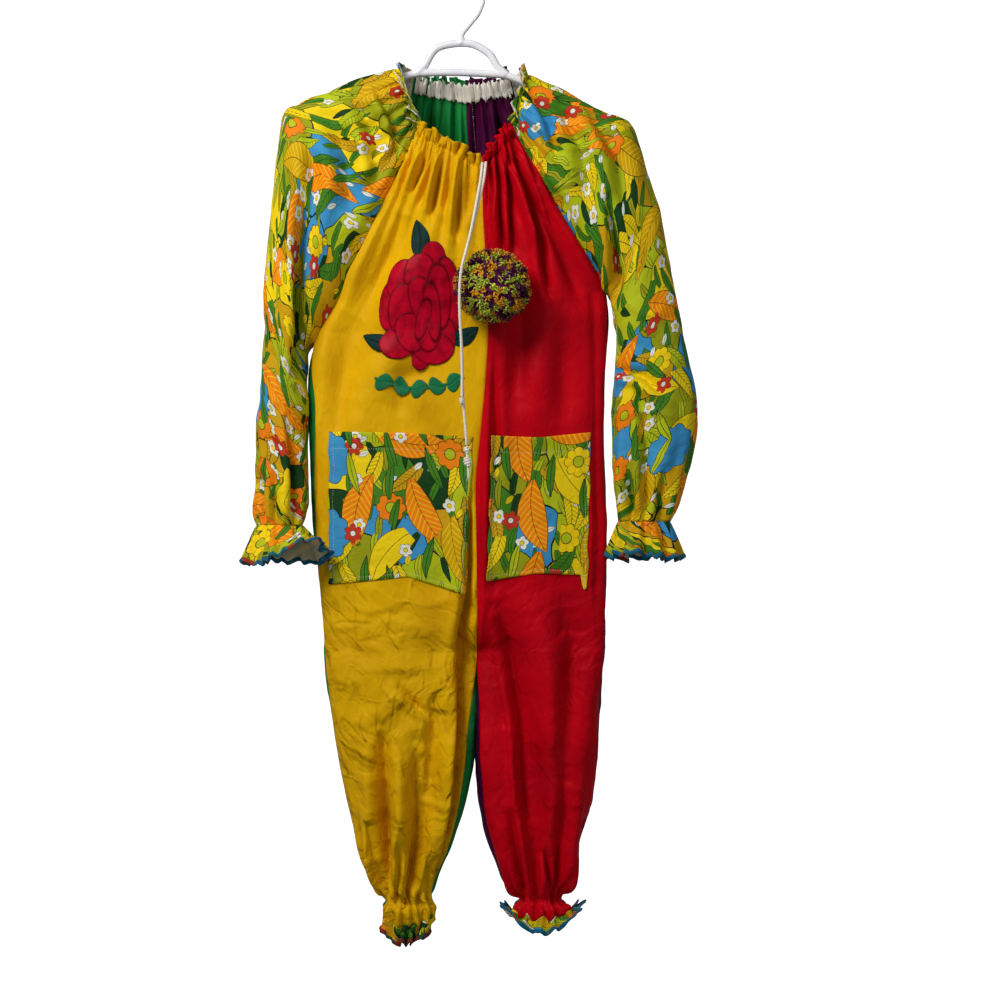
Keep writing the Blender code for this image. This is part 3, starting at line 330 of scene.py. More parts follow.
def cotton(name, face, deep, light, rough=0.6, crumpled=0.0):
    # dyed cotton: weave, slubs and small wrinkles, with a painted highlight along the raised wrinkle lines; crumpled
    # lays sharp flat-sided creases over the legs, with painted shade in the narrow creases
    paint = Paint(name, Specular_IOR_Level=0.05)
    uv = paint.uv()
    slub = paint.grain(paint.shift("MULTIPLY", uv, (1.0, 0.12, 1.0)), 0.0022, 2.0)
    wrinkle = paint.grain(paint.shift("MULTIPLY", uv, (1.0, 0.55, 1.0)), 0.03, 4.0, 0.55)
    fold = 1 - (wrinkle * 2 - 1).size().between(0.0, 0.16)
    paint.raise_by(wrinkle, 0.0035, 0.4)
    paint.raise_by(fold, 0.0007, 0.4)
    creaseShade = 0.0
    if crumpled:
        low = 1 - paint.node("SeparateXYZ", None, {0: paint.place()})["Z"].between(-0.90, -0.70)
        wander = paint.shift("MULTIPLY", paint.grain(uv, 0.11, 0.0)["Color"], (0.05, 0.05, 0.0))
        bent = paint.shift("ADD", uv, wander)
        for size, slope in ((0.085, 0.19), (0.043, 0.16), (0.022, 0.10)):
            sockets = {"Vector": bent, "Scale": 1 / size, "Randomness": 1.0}
            cell = paint.node("TexVoronoi", {"voronoi_dimensions": "2D"}, sockets)
            rim = paint.node("TexVoronoi", {"voronoi_dimensions": "2D", "feature": "DISTANCE_TO_EDGE"}, sockets)
            local = paint.node("SeparateXYZ", None, {0: paint.shift("SUBTRACT", bent, cell["Position"])})
            lean = paint.node("SeparateColor", None, {0: cell["Color"]})
            facet = local["X"] * (lean["Red"] - 0.5) + local["Y"] * (lean["Green"] - 0.5)
            paint.raise_by(facet * rim.between(0.0, 0.13) * slope * (low * 0.85 + 0.15) * crumpled, 1.0, 0.8)
        # narrow creases that run on for a few centimetres and fade, in four directions
        for turn, pitch, seen in (
                (0.35, 0.070, 0.44), (-0.60, 0.055, 0.46), (0.05, 0.045, 0.48), (1.45, 0.085, 0.56)):
            turned = paint.node("VectorRotate", {"rotation_type": "Z_AXIS"}, {"Vector": uv, "Angle": turn})["Vector"]
            drawn = paint.grain(paint.shift("MULTIPLY", turned, (1.0, 0.32, 1.0)), pitch, 2.0, 0.4)
            crease = 1 - (drawn * 2 - 1).size().between(0.0, 0.075)
            patch = paint.grain(paint.shift("ADD", uv, (turn, turn, 0.0)), 0.06, 1.0).between(seen, seen + 0.12)
            crease = crease * patch * (low * 0.8 + 0.2)
            paint.raise_by(crease, -0.0013 * crumpled, 0.85)
            creaseShade = creaseShade + crease
    thread = addWeave(paint, uv)
    cloud = paint.grain(uv, 0.09, 3.0)
    colour = paint.mix(cloud.between(0.35, 0.75), face, deep)
    # painted highlight: the raised wrinkle lines are mixed a little toward the lighter tone
    colour = paint.mix(fold * 0.10, colour, light)
    if crumpled:
        # painted shade: the colour darkens in the valleys of the narrow creases
        colour = paint.mix(creaseShade.least(1.0) * 0.13 * crumpled, colour, tuple(part * 0.45 for part in deep))
    colour = paint.mix((thread * 0.5 + slub) * 0.12, colour, deep)
    return paint.done(colour, rough + (cloud - 0.5) * 0.2)


ink = {
    "line": rgb(13, 32, 24), "brown": rgb(96, 62, 14), "yellow": rgb(252, 218, 16), "mustard": rgb(212, 164, 8),
    "olive": rgb(158, 162, 18), "lime": rgb(186, 198, 26), "green": rgb(70, 132, 32), "forest": rgb(18, 66, 26),
    "sky": rgb(62, 150, 204), "orange": rgb(252, 134, 14), "red": rgb(206, 54, 34), "white": rgb(240, 240, 226),
}


def printCells(paint, at, pitch, loose, seed):
    moved = paint.shift("ADD", at, (seed * 0.37, seed * 0.71, 0.0))
    near = paint.node("TexVoronoi", {"voronoi_dimensions": "2D"},
                      {"Vector": moved, "Scale": 1 / pitch, "Randomness": loose})
    local = paint.node("SeparateXYZ", None, {0: paint.shift("SUBTRACT", moved, near["Position"])})
    chance = paint.node("SeparateColor", None, {0: near["Color"]})
    return local["X"], local["Y"], chance["Red"], chance["Green"], chance["Blue"]


def printGround(paint, at):
    # low hills and patches of sky, each with its own outline
    wave = paint.grain(at, 0.05, 1.0)["Color"]
    bent = paint.shift("ADD", at, paint.shift("MULTIPLY", wave, (0.03, 0.03, 0.0)))
    sockets = {"Vector": bent, "Scale": 1 / 0.07, "Randomness": 0.9}
    cell = paint.node("TexVoronoi", {"voronoi_dimensions": "2D"}, sockets)
    rim = paint.node("TexVoronoi", {"voronoi_dimensions": "2D", "feature": "DISTANCE_TO_EDGE"}, sockets)
    tone = paint.node("SeparateColor", None, {0: cell["Color"]})["Red"]
    colour = paint.tones(tone, (0.0, ink["olive"]), (0.20, ink["lime"]), (0.40, ink["forest"]),
                         (0.50, ink["yellow"]), (0.64, ink["sky"]), (0.72, ink["mustard"]), (0.88, ink["green"]))
    return paint.mix(rim.less(0.012), colour, ink["line"])


def printLeaves(paint, at, under, style):
    x, y, chance, tone, turn = printCells(paint, at, style["pitch"], style["loose"], style["seed"])
    angle = turn * style["spread"] + style["lean"]
    along = x * angle.cos() + y * angle.sin()
    across = y * angle.cos() - x * angle.sin() + along * along * style["bow"]
    share = along / style["length"]
    side = across.size()
    rim = (1 - share * share) * style["width"] - side
    inside = rim.more(0.0) * chance.less(style["chance"])
    ribs = ((along + side * 0.9) / style["rib"]).part().less(style["ribShare"])
    colour = paint.tones(tone, *style["tones"])
    colour = paint.mix(ribs * 0.75, colour, style["ribTone"])
    colour = paint.mix(rim.less(style["line"]).most(side.less(style["line"] * 0.45)), colour, style["lineTone"])
    return paint.mix(inside, under, colour)


def printFlowers(paint, at, under, style):
    x, y, chance, tone, turn = printCells(paint, at, style["pitch"], style["loose"], style["seed"])
    radius = (x * x + y * y).sum("SQRT")
    angle = y.sum("ARCTAN2", x) + turn * 3
    lobe = (angle * (style["petals"] / 2)).cos().size()
    edge = (lobe * style["scallop"] + (1 - style["scallop"])) * style["radius"]
    rim = edge - radius
    inside = rim.more(0.0) * chance.less(style["chance"])
    colour = paint.tones(tone, *style["tones"])
    colour = paint.mix(lobe.less(0.16) * radius.more(style["radius"] * 0.4) * 0.8, colour, style["seam"])
    heart = radius.less(style["radius"] * style["heart"])
    ring = (radius - style["radius"] * style["heart"]).size().less(style["line"] * 0.6)
    colour = paint.mix(heart, colour, style["heartTone"])
    colour = paint.mix(rim.less(style["line"]).most(ring), colour, style["lineTone"])
    return paint.mix(inside, under, colour)


printLayers = (
    ("leaf", dict(pitch=0.030, loose=0.9, seed=1, spread=1.2, lean=1.0, bow=6.0, length=0.026, width=0.0052,
                  chance=0.85, rib=0.5, ribShare=0.0, ribTone=ink["forest"], line=0.0008, lineTone=ink["line"],
                  tones=((0.0, ink["green"]), (0.35, ink["olive"]), (0.55, ink["lime"]), (0.8, ink["forest"])))),
    ("leaf", dict(pitch=0.052, loose=0.9, seed=2, spread=1.8, lean=0.6, bow=-5.0, length=0.040, width=0.0105,
                  chance=0.80, rib=0.006, ribShare=0.16, ribTone=ink["forest"], line=0.0009,
                  lineTone=ink["line"], tones=((0.0, ink["lime"]), (0.28, ink["green"]), (0.50, ink["mustard"]),
                                               (0.68, ink["yellow"])))),
    ("leaf", dict(pitch=0.019, loose=0.5, seed=3, spread=1.0, lean=0.3, bow=0.0, length=0.0085, width=0.0040,
                  chance=0.16, rib=0.5, ribShare=0.0, ribTone=ink["white"], line=0.0005, lineTone=ink["forest"],
                  tones=((0.0, ink["white"]), (0.6, ink["yellow"])))),
    ("leaf", dict(pitch=0.094, loose=0.85, seed=4, spread=3.0, lean=0.2, bow=4.0, length=0.054, width=0.0205,
                  chance=0.86, rib=0.0085, ribShare=0.22, ribTone=ink["yellow"], line=0.0010,
                  lineTone=ink["brown"], tones=((0.0, ink["orange"]), (0.52, ink["yellow"]),
                                                (0.75, ink["mustard"])))),
    ("flower", dict(pitch=0.115, loose=0.7, seed=5, petals=9, scallop=0.14, radius=0.036, chance=0.22,
                    heart=0.0, heartTone=ink["sky"], seam=ink["sky"], line=0.0010, lineTone=ink["line"],
                    tones=((0.0, ink["sky"]),))),
    ("flower", dict(pitch=0.032, loose=0.35, seed=6, petals=5, scallop=0.30, radius=0.0100, chance=0.15,
                    heart=0.30, heartTone=ink["yellow"], seam=ink["white"], line=0.0006, lineTone=ink["line"],
                    tones=((0.0, ink["white"]),))),
    ("flower", dict(pitch=0.074, loose=0.8, seed=7, petals=8, scallop=0.18, radius=0.021, chance=0.34,
                    heart=0.36, heartTone=ink["lime"], seam=ink["orange"], line=0.0010, lineTone=ink["brown"],
                    tones=((0.0, ink["yellow"]), (0.4, ink["orange"]), (0.75, ink["yellow"])))),
    ("flower", dict(pitch=0.066, loose=0.8, seed=8, petals=6, scallop=0.34, radius=0.0135, chance=0.22,
                    heart=0.3, heartTone=ink["white"], seam=ink["red"], line=0.0009, lineTone=ink["brown"],
                    tones=((0.0, ink["red"]),))),
    ("leaf", dict(pitch=0.050, loose=0.9, seed=9, spread=0.9, lean=1.15, bow=3.0, length=0.032, width=0.0062,
                  chance=0.40, rib=0.5, ribShare=0.0, ribTone=ink["forest"], line=0.0009, lineTone=ink["line"],
                  tones=((0.0, ink["green"]), (0.5, ink["lime"]), (0.75, ink["green"])))),
)


def printCotton(name, wrongSide=False):
    # a jungle of made-up leaves and flowers; on the wrong side the inks only show through
    paint = Paint(name, Specular_IOR_Level=0.16)
    uv = paint.uv()
    colour = printGround(paint, uv)
    for kind, style in printLayers[1:5:2] + printLayers[6:7] if wrongSide else printLayers:
        colour = (printLeaves if kind == "leaf" else printFlowers)(paint, uv, colour, style)
    if wrongSide:
        colour = paint.mix(0.74, colour, rgb(236, 228, 200))
    wrinkle = paint.grain(uv, 0.025, 4.0, 0.55)
    fold = 1 - (wrinkle * 2 - 1).size().between(0.0, 0.22)
    paint.raise_by(wrinkle, 0.0035, 0.45)
    paint.raise_by(fold, 0.0007, 0.5)
    thread = addWeave(paint, uv)
    colour = paint.mix(thread * 0.06 + 0.03, colour, rgb(90, 90, 50))
    return paint.done(colour, 0.55 + wrinkle * 0.2)


finishes = {
    "yellow": cotton("yellow_cotton", (0.82, 0.46, 0.002), (0.70, 0.36, 0.002), (0.92, 0.60, 0.01), 0.5, 1.0),
    "red": cotton("red_cotton", (0.60, 0.0003, 0.008), (0.44, 0.0003, 0.007), (0.72, 0.004, 0.012), 0.5, 0.45),
    "green": cotton("green_cotton", (0.012, 0.26, 0.055), (0.008, 0.17, 0.036), (0.03, 0.32, 0.08), 0.6, 0.5),
    "purple": cotton("purple_cotton", (0.070, 0.003, 0.040), (0.042, 0.002, 0.026), (0.11, 0.01, 0.07), 0.6, 0.5),
    "cream": cotton("cream_cotton", (0.97, 0.94, 0.84), (0.88, 0.82, 0.68), (1.0, 0.98, 0.90)),
    "print": printCotton("jungle_print"),
    "printBack": printCotton("jungle_print_wrong_side", wrongSide=True),
}
print("cloth finishes made")


# the drawstring's two free ends, placed before the cloth: three-stranded cotton cord and its knots

drawstrings = {
    "drawstring_long": (
        (36.5, -55.5, -263.0), (36.3, -60.0, -266.0), (35.6, -63.0, -274.0), (33.5, -67.0, -289.0),
        (29.5, -74.0, -309.0), (24.0, -83.0, -334.0), (17.5, -94.0, -362.0), (11.0, -105.0, -388.0),
        (5.5, -112.5, -409.0), (2.5, -116.0, -428.0), (1.5, -117.0, -450.0), (2.0, -117.2, -480.0),
        (4.0, -117.2, -512.0), (5.5, -117.2, -545.0), (5.8, -117.2, -575.0), (7.5, -117.2, -607.0),
        (10.0, -117.2, -636.0), (10.9, -117.2, -653.0),
    ),
    "drawstring_short": (
        (31.9, -55.5, -264.0), (31.6, -60.2, -267.0), (30.9, -64.2, -275.0), (29.1, -69.8, -290.0),
        (25.9, -78.2, -310.0), (21.6, -88.4, -335.0), (16.6, -99.4, -362.0), (10.8, -110.6, -388.0),
        (5.6, -117.6, -409.0), (2.6, -120.8, -428.0), (1.6, -121.8, -450.0), (2.0, -121.9, -480.0),
        (3.8, -121.9, -512.0), (4.8, -122.0, -545.0), (5.0, -122.4, -572.0), (4.8, -123.0, -588.0),
    ),
}
cordLengths = {"drawstring_long": 0.406, "drawstring_short": 0.341}

twine = dict(diameter=4.0, lay=13.0, ring=1.3, sides=12)


def smoothPath(points, spacing):
    # even steps along a smooth curve through a cord's points
    points = np.array(points, float)
    fine = np.linspace(0, len(points) - 1, 40 * len(points))
    line = np.stack([readColumn(points[:, axis], fine) for axis in range(3)], -1)
    run = runAlong(line)
    at = np.linspace(0, run[-1], max(2, round(run[-1] / spacing)) + 1)
    return np.stack([np.interp(at, run, line[:, axis]) for axis in range(3)], -1)


def twistedTube(path, radius, lobes=3, lay=13.0, sides=12, depth=0.16):
    # a laid cord along a path: its lobes turn once every lay; radius is one number or one a ring
    along = unit(np.gradient(path, axis=0))
    side = unit(np.cross(along[0], (0.3, 0.9, 0.1)))
    run = runAlong(path)
    radius = np.broadcast_to(radius, (len(path),))
    points, places, faces = [], [], []
    for i, (place, way) in enumerate(zip(path, along)):
        side = unit(side - way * (side @ way))
        other = np.cross(way, side)
        theta = 2 * math.pi * np.arange(sides) / sides
        turn = 2 * math.pi * run[i] / lay
        reach = radius[i] * (1 - depth + depth * np.abs(np.cos(lobes / 2 * (theta - turn))))
        points.append(place + side * (np.cos(theta) * reach)[:, None] + other * (np.sin(theta) * reach)[:, None])
        places.append(np.stack((theta / (2 * math.pi) * radius[i] * 6.28, np.full(sides, run[i])), -1))
    for i in range(len(path) - 1):
        for j in range(sides):
            k = (j + 1) % sides
            faces.append((i * sides + j, i * sides + k, (i + 1) * sides + k, (i + 1) * sides + j))
    faces.append(tuple(range(sides))[::-1])
    faces.append(tuple(range((len(path) - 1) * sides, len(path) * sides)))
    return np.concatenate(points), np.concatenate(places), faces


def tubesObject(name, tubes, finish):
    points, places, faces, base = [], [], [], 0
    for tubePoints, tubePlaces, tubeFaces in tubes:
        points.append(tubePoints)
        places.append(tubePlaces)
        faces += [tuple(v + base for v in face) for face in tubeFaces]
        base += len(tubePoints)
    return newObject(name, np.concatenate(points), faces, finish, np.concatenate(places))


def cordFinish():
    # undyed cotton, with painted shade: darker in the fine grooves between the twisted fibres
    paint = Paint("cotton_cord", Specular_IOR_Level=0.12)
    split = paint.node("SeparateXYZ", None, {0: paint.uv()})
    fibre = ((split["X"] * 3.0 - split["Y"]) * (2 * math.pi / 0.0008)).sin()
    soil = paint.grain(paint.uv(), 0.006, 2.0)
    # painted shade: dark in the grooves of the fibre bump, pale on its raised tops
    colour = paint.mix(fibre * 0.5 + 0.5, rgb(240, 232, 206), rgb(255, 251, 238))
    colour = paint.mix(soil * 0.1, colour, rgb(226, 214, 180))
    paint.raise_by(fibre, 0.00012, 0.5)
    return paint.done(colour, 0.85)


finishes["cord"] = cordFinish()


def knotCoil(centre, axis, radius, turns, rise, wire, start=0.0):
    # a few tight wraps of the cord about itself
    axis = unit(np.array(axis, float))
    side = unit(np.cross(axis, (0.2, 1.0, 0.1)))
    other = np.cross(axis, side)
    t = np.linspace(0, 1, max(10, int(turns * 22)))
    a = start + 2 * math.pi * turns * t
    bulge = radius * (0.72 + 0.28 * np.sin(math.pi * t))
    path = np.array(centre) + axis * ((t - 0.5) * rise)[:, None] \
        + side * (np.cos(a) * bulge)[:, None] + other * (np.sin(a) * bulge)[:, None]
    return twistedTube(path, wire, lay=7.0, sides=9)


cordPaths = {name: smoothPath(route, twine["ring"]) for name, route in drawstrings.items()}
threads = np.random.default_rng(7)


def frayed(start, down, count, length):
    # loose ends of yarn below the last knot
    tubes = []
    for n in range(count):
        a = 2 * math.pi * n / count
        out = np.array((math.cos(a), 0.6 * math.sin(a), 0))
        lean = out * threads.uniform(0.5, 2.2) + np.array((threads.normal(0, 0.6), 0, 0))
        t = np.linspace(0, 1, 9)[:, None]
        path = np.array(start) + out * 0.8 + np.array(down) * length * threads.uniform(0.75, 1.0) * t \
            + lean * t ** 2 + np.array((1, 0.3, 0)) * (0.7 * np.sin(4 * t + n))
        thin = np.interp(np.linspace(0, 1, 9), (0, 1), (0.75, 0.32))
        tubes.append(twistedTube(path, thin, lobes=2, lay=4, sides=6))
    return tubes


knotMakes = {
    "drawstring_bead": [
        knotCoil((4.5, -123.2, -593.4), (0.1, 0, -1), 2.3, 2.4, 6.4, 1.5),
        knotCoil((4.5, -123.0, -593.2), (0.8, 0.1, -0.6), 1.9, 1.2, 2.4, 1.4, 1.0)]
    + frayed((4.5, -123.0, -596.5), (0.05, 0.1, -1), 5, 5.0),
    "drawstring_knot": [
        knotCoil((11.2, -117.2, -659.6), (0.1, 0, -1), 2.9, 2.3, 7.0, 1.9),
        knotCoil((11.4, -117.0, -659.2), (0.9, 0.1, -0.5), 2.4, 1.3, 2.8, 1.7, 2.0),
        knotCoil((12.4, -117.2, -675.5), (0.15, 0, -1), 4.1, 3.2, 11.0, 2.0, 0.6),
        knotCoil((12.4, -117.0, -675.5), (0.7, 0.1, -0.7), 3.7, 1.4, 3.7, 1.8, 2.4),
        twistedTube(smoothPath(((11.4, -117.2, -662.0), (11.6, -117.2, -666.0), (12.0, -117.2, -670.5)), 1.3), 1.9)]
    + frayed((13.6, -117.2, -680.0), (0.0, 0.0, -1), 9, 24.0),
}
knotObjects = {}
for name, tubes in knotMakes.items():
    knotObjects[name] = tubesObject(pieceName(name, "cotton"), tubes, finishes["cord"])
    settle(knotObjects[name], "cord", name)
for name, knot in (("drawstring_long", "drawstring_knot"), ("drawstring_short", "drawstring_bead")):
    path = cordPaths[name]
    tube = twistedTube(path, twine["diameter"] / 2)
    made = tubesObject(pieceName(name, "cotton"), [tube], finishes["cord"])
    settle(made, "cord", name)
    real = float(runAlong(path)[-1]) * mm
    print(name, "is", round(real, 4), "m long")
    tuple(path[0] * mm)
    cordLengths[name]
    knotObjects[knot]
print("cords made")


# the jumpsuit's shape, row by row: the same tables as the solids', read more finely

underarm, crotch = 8, 16
cloth = {"wall": 0.9, "step": 3.6, "frill": 17.0, "frillFlare": 2.5, "neckCrowd": 3.4}
frillStand = {"sleeve_left": 1.3, "sleeve_right": 1.0}

flatness = ((0, 6, 8, 10, 14, 16, 18, 21, 24), (0.8, 0.8, 1.0, 0.7, 0.75, 1.0, 0.72, 0.8, 1.0))
raglanLeft = table(
    "frontX frontY frontZ backX backY backZ",
    (-61.6, -30, -220.5, -67, 28, -139), (-68.6, -31, -237.3, -74, 30, -170),
    (-81.2, -31, -263.9, -86, 32, -210), (-96.6, -30, -294.7, -101, 32, -255),
    (-116.2, -28, -332.5, -119, 31, -305), (-135.8, -25, -375.9, -138, 28, -355),
    (-155.4, -20, -412.3, -158, 23, -405), (-171.5, -12, -452.0, -176, 13, -452),
    (-198.8, 0, -493.5, -198.8, 0, -493.5),
)
raglanRight = table(
    "frontX frontY frontZ backX backY backZ",
    (78.4, -30, -217.7, 74, 28, -143.5), (85.4, -31, -231.7, 82, 30, -170), (96.6, -31, -251.3, 95, 32, -204),
    (110.6, -30, -273.7, 111, 32, -242), (126.0, -28, -301.7, 130, 31, -285),
    (144.2, -25, -333.9, 150, 28, -328), (163.8, -20, -367.5, 171, 23, -370),
    (183.4, -12, -399.7, 189, 13, -405), (205.8, 0, -433.3, 205.8, 0, -433.3),
)
centre = table(
    "frontX frontZ frontDepth backX backZ backDepth turn",
    (31.5, -271.0, 50, 8, -150, 42, 90), (31.8, -290.5, 50, 9, -188, 43, 90),
    (32.0, -313.0, 50, 11, -232, 43, 90), (33.0, -341.0, 50, 13, -277, 43, 90),
    (35.0, -373.0, 50, 15, -322, 43, 90), (36.5, -405.0, 49, 17, -366, 43, 90),
    (38.0, -436.0, 49, 19, -410, 42, 90), (39.0, -465.5, 48, 21, -452, 42, 90),
    (39.5, -493.5, 48, 23, -493.5, 42, 90), (37.0, -545.0, 48, 24, -545, 42, 90),
    (30.5, -620.0, 48, 24, -620, 42, 90), (23.0, -700.0, 48, 24, -700, 43, 90),
    (23.0, -770.0, 48, 24, -770, 44, 92), (24.0, -840.0, 48, 24, -840, 45, 101),
    (24.5, -885.0, 47, 24.5, -885, 45, 120), (24.5, -916.0, 46, 24.5, -916, 45, 148),
    (24.0, -937.0, 45, 24.0, -937, 45, 180),
)
sideLeft = table(
    "x z wrapOut",
    (-198.8, -493.5, 0), (-210.0, -545.0, 9), (-211.0, -620.0, 16), (-208.0, -700.0, 12), (-204.5, -770.0, 10),
    (-197.4, -840.0, 5), (-192.0, -885.0, 4), (-190.0, -916.0, 4), (-189.0, -937.0, 4), (-186.2, -975.0, 5),
    (-177.8, -1040.0, 5), (-168.0, -1100.0, 5), (-155.4, -1160.0, 5), (-142.8, -1210.0, 4),
    (-130.2, -1250.0, 3), (-117.6, -1274.0, 2), (-103.6, -1291.0, 0), (-108.0, -1316.0, 0),
)
sideRight = table(
    "x z wrapOut",
    (205.8, -433.3, 0), (208.0, -500.0, 5), (200.0, -600.0, 5), (202.0, -690.0, 5), (205.4, -768.0, 5),
    (205.0, -840.0, 8), (203.0, -885.0, 12), (202.5, -916.0, 16), (201.6, -937.0, 19), (200.2, -975.0, 20),
    (196.0, -1040.0, 12), (190.8, -1100.0, 6), (180.6, -1160.0, 4), (165.2, -1210.0, 3), (157.5, -1250.0, 2),
    (151.0, -1270.0, 1), (142.8, -1286.0, 0), (150.0, -1307.0, 0),
)
inseamLeft = table(
    "x wrapIn depth",
    (24.0, 0, 45), (22.9, 6, 46), (20.6, 20, 45), (16.2, 26, 43), (6.0, 27, 41), (-9.0, 25, 38),
    (-30.0, 16, 34), (-39.0, 8, 31), (-42.0, 0, 28), (-37.0, 0, 32),
)
inseamRight = table(
    "x wrapIn depth",
    (24.0, 0, 45), (25.5, 5, 46), (23.4, 18, 45), (21.6, 26, 43), (26.0, 27, 41), (40.5, 24, 38),
    (56.5, 14, 34), (69.5, 6, 31), (84.0, 0, 28), (77.0, 0, 33),
)
ridgeLeft = table(
    "x z bulge",
    (-86.0, -126.5, 3), (-120.4, -138.0, 8), (-154.0, -147.0, 14), (-189.0, -159.5, 20), (-219.8, -172.5, 26),
    (-243.0, -185.0, 32), (-251.0, -208.0, 38), (-254.5, -246.0, 42), (-260.4, -294.0, 45),
    (-268.0, -363.3, 47), (-273.7, -447.3, 48), (-275.8, -531.3, 48), (-279.3, -608.3, 46),
    (-282.8, -674.1, 42), (-282.8, -720.3, 36), (-280.7, -746.9, 31), (-277.2, -761.0, 26),
)
ridgeRight = table(
    "x z bulge",
    (95.0, -133.0, 3), (120.0, -147.5, 8), (147.0, -159.0, 14), (178.0, -174.0, 20), (209.0, -189.0, 26),
    (238.0, -205.0, 30), (252.0, -237.3, 34), (263.2, -272.3, 37), (274.4, -311.5, 39), (288.4, -370.3, 40),
    (302.4, -433.3, 40), (315.0, -503.3, 40), (327.6, -576.1, 39), (326.9, -636.3, 37), (315.0, -688.1, 34),
    (302.4, -731.5, 29), (291.2, -756.7, 25),
)
undersleeveLeft = table(
    "x y z",
    (-198.8, 0, -493.5), (-215.0, -3, -520.0), (-216.5, -6, -552.3), (-215.5, -10, -594.3),
    (-214.5, -14, -643.3), (-213.0, -18, -692.3), (-212.0, -22, -727.3), (-215.0, -25, -748.3),
    (-219.0, -28, -761.0),
)
undersleeveRight = table(
    "x y z",
    (205.8, 0, -433.3), (214.8, -2, -458.5), (218.0, -4, -496.3), (215.5, -6, -548.1), (212.0, -8, -601.3),
    (211.5, -10, -650.3), (213.5, -12, -692.3), (217.0, -14, -731.5), (219.8, -15, -756.7),
)
neckGather = table("row depth", (-1, 2.7), (0, 1.7), (1, 2.7), (2, 2.9), (3, 2.5), (4, 2.0), (5, 1.5),
                    (6, 1.0), (7, 0.5), (8, 0.0))
ankleGather = table("row depth", (19, 0.0), (21, 1.2), (22, 3.0), (23, 4.2), (24, 1.8), (25, 4.0))
wristGather = table("row depth", (11, 0.0), (13, 1.4), (14, 2.6), (15, 3.8), (16, 1.6))
folds = {
    "front_left": table(
        "top bottom first last width depth",
        (0.86, 0.86, 10, 22, 0.10, -5.0), (0.62, 0.52, 16, 23, 0.09, -3.5), (0.30, 0.38, 12, 22, 0.10, -3.0),
        (0.14, 0.20, 4, 13, 0.09, 3.0),
    ),
    "front_right": table(
        "top bottom first last width depth",
        (0.24, 0.18, 3, 16, 0.09, -4.5), (0.55, 0.50, 2, 12, 0.10, -3.0), (0.62, 0.55, 15, 23, 0.12, -3.5),
        (0.84, 0.80, 5, 15, 0.10, -3.0),
    ),
    "back_left": table(
        "top bottom first last width depth",
        (0.30, 0.26, 3, 15, 0.12, -4.0), (0.62, 0.66, 4, 14, 0.12, -3.5), (0.48, 0.45, 16, 23, 0.12, -3.0),
    ),
    "back_right": table(
        "top bottom first last width depth",
        (0.72, 0.74, 3, 15, 0.12, -4.0), (0.40, 0.36, 4, 14, 0.12, -3.5), (0.50, 0.55, 16, 23, 0.12, -3.0),
    ),
    "sleeve_left": table(
        "top bottom first last width depth",
        (0.70, 0.72, 5, 12, 0.09, -9.0), (0.80, 0.66, 9, 15, 0.10, -5.0), (0.30, 0.28, 6, 14, 0.12, -4.0),
    ),
    "sleeve_right": table(
        "top bottom first last width depth",
        (0.30, 0.34, 5, 12, 0.10, -5.0), (0.22, 0.20, 9, 15, 0.10, -4.5), (0.72, 0.70, 6, 14, 0.12, -4.0),
    ),
}


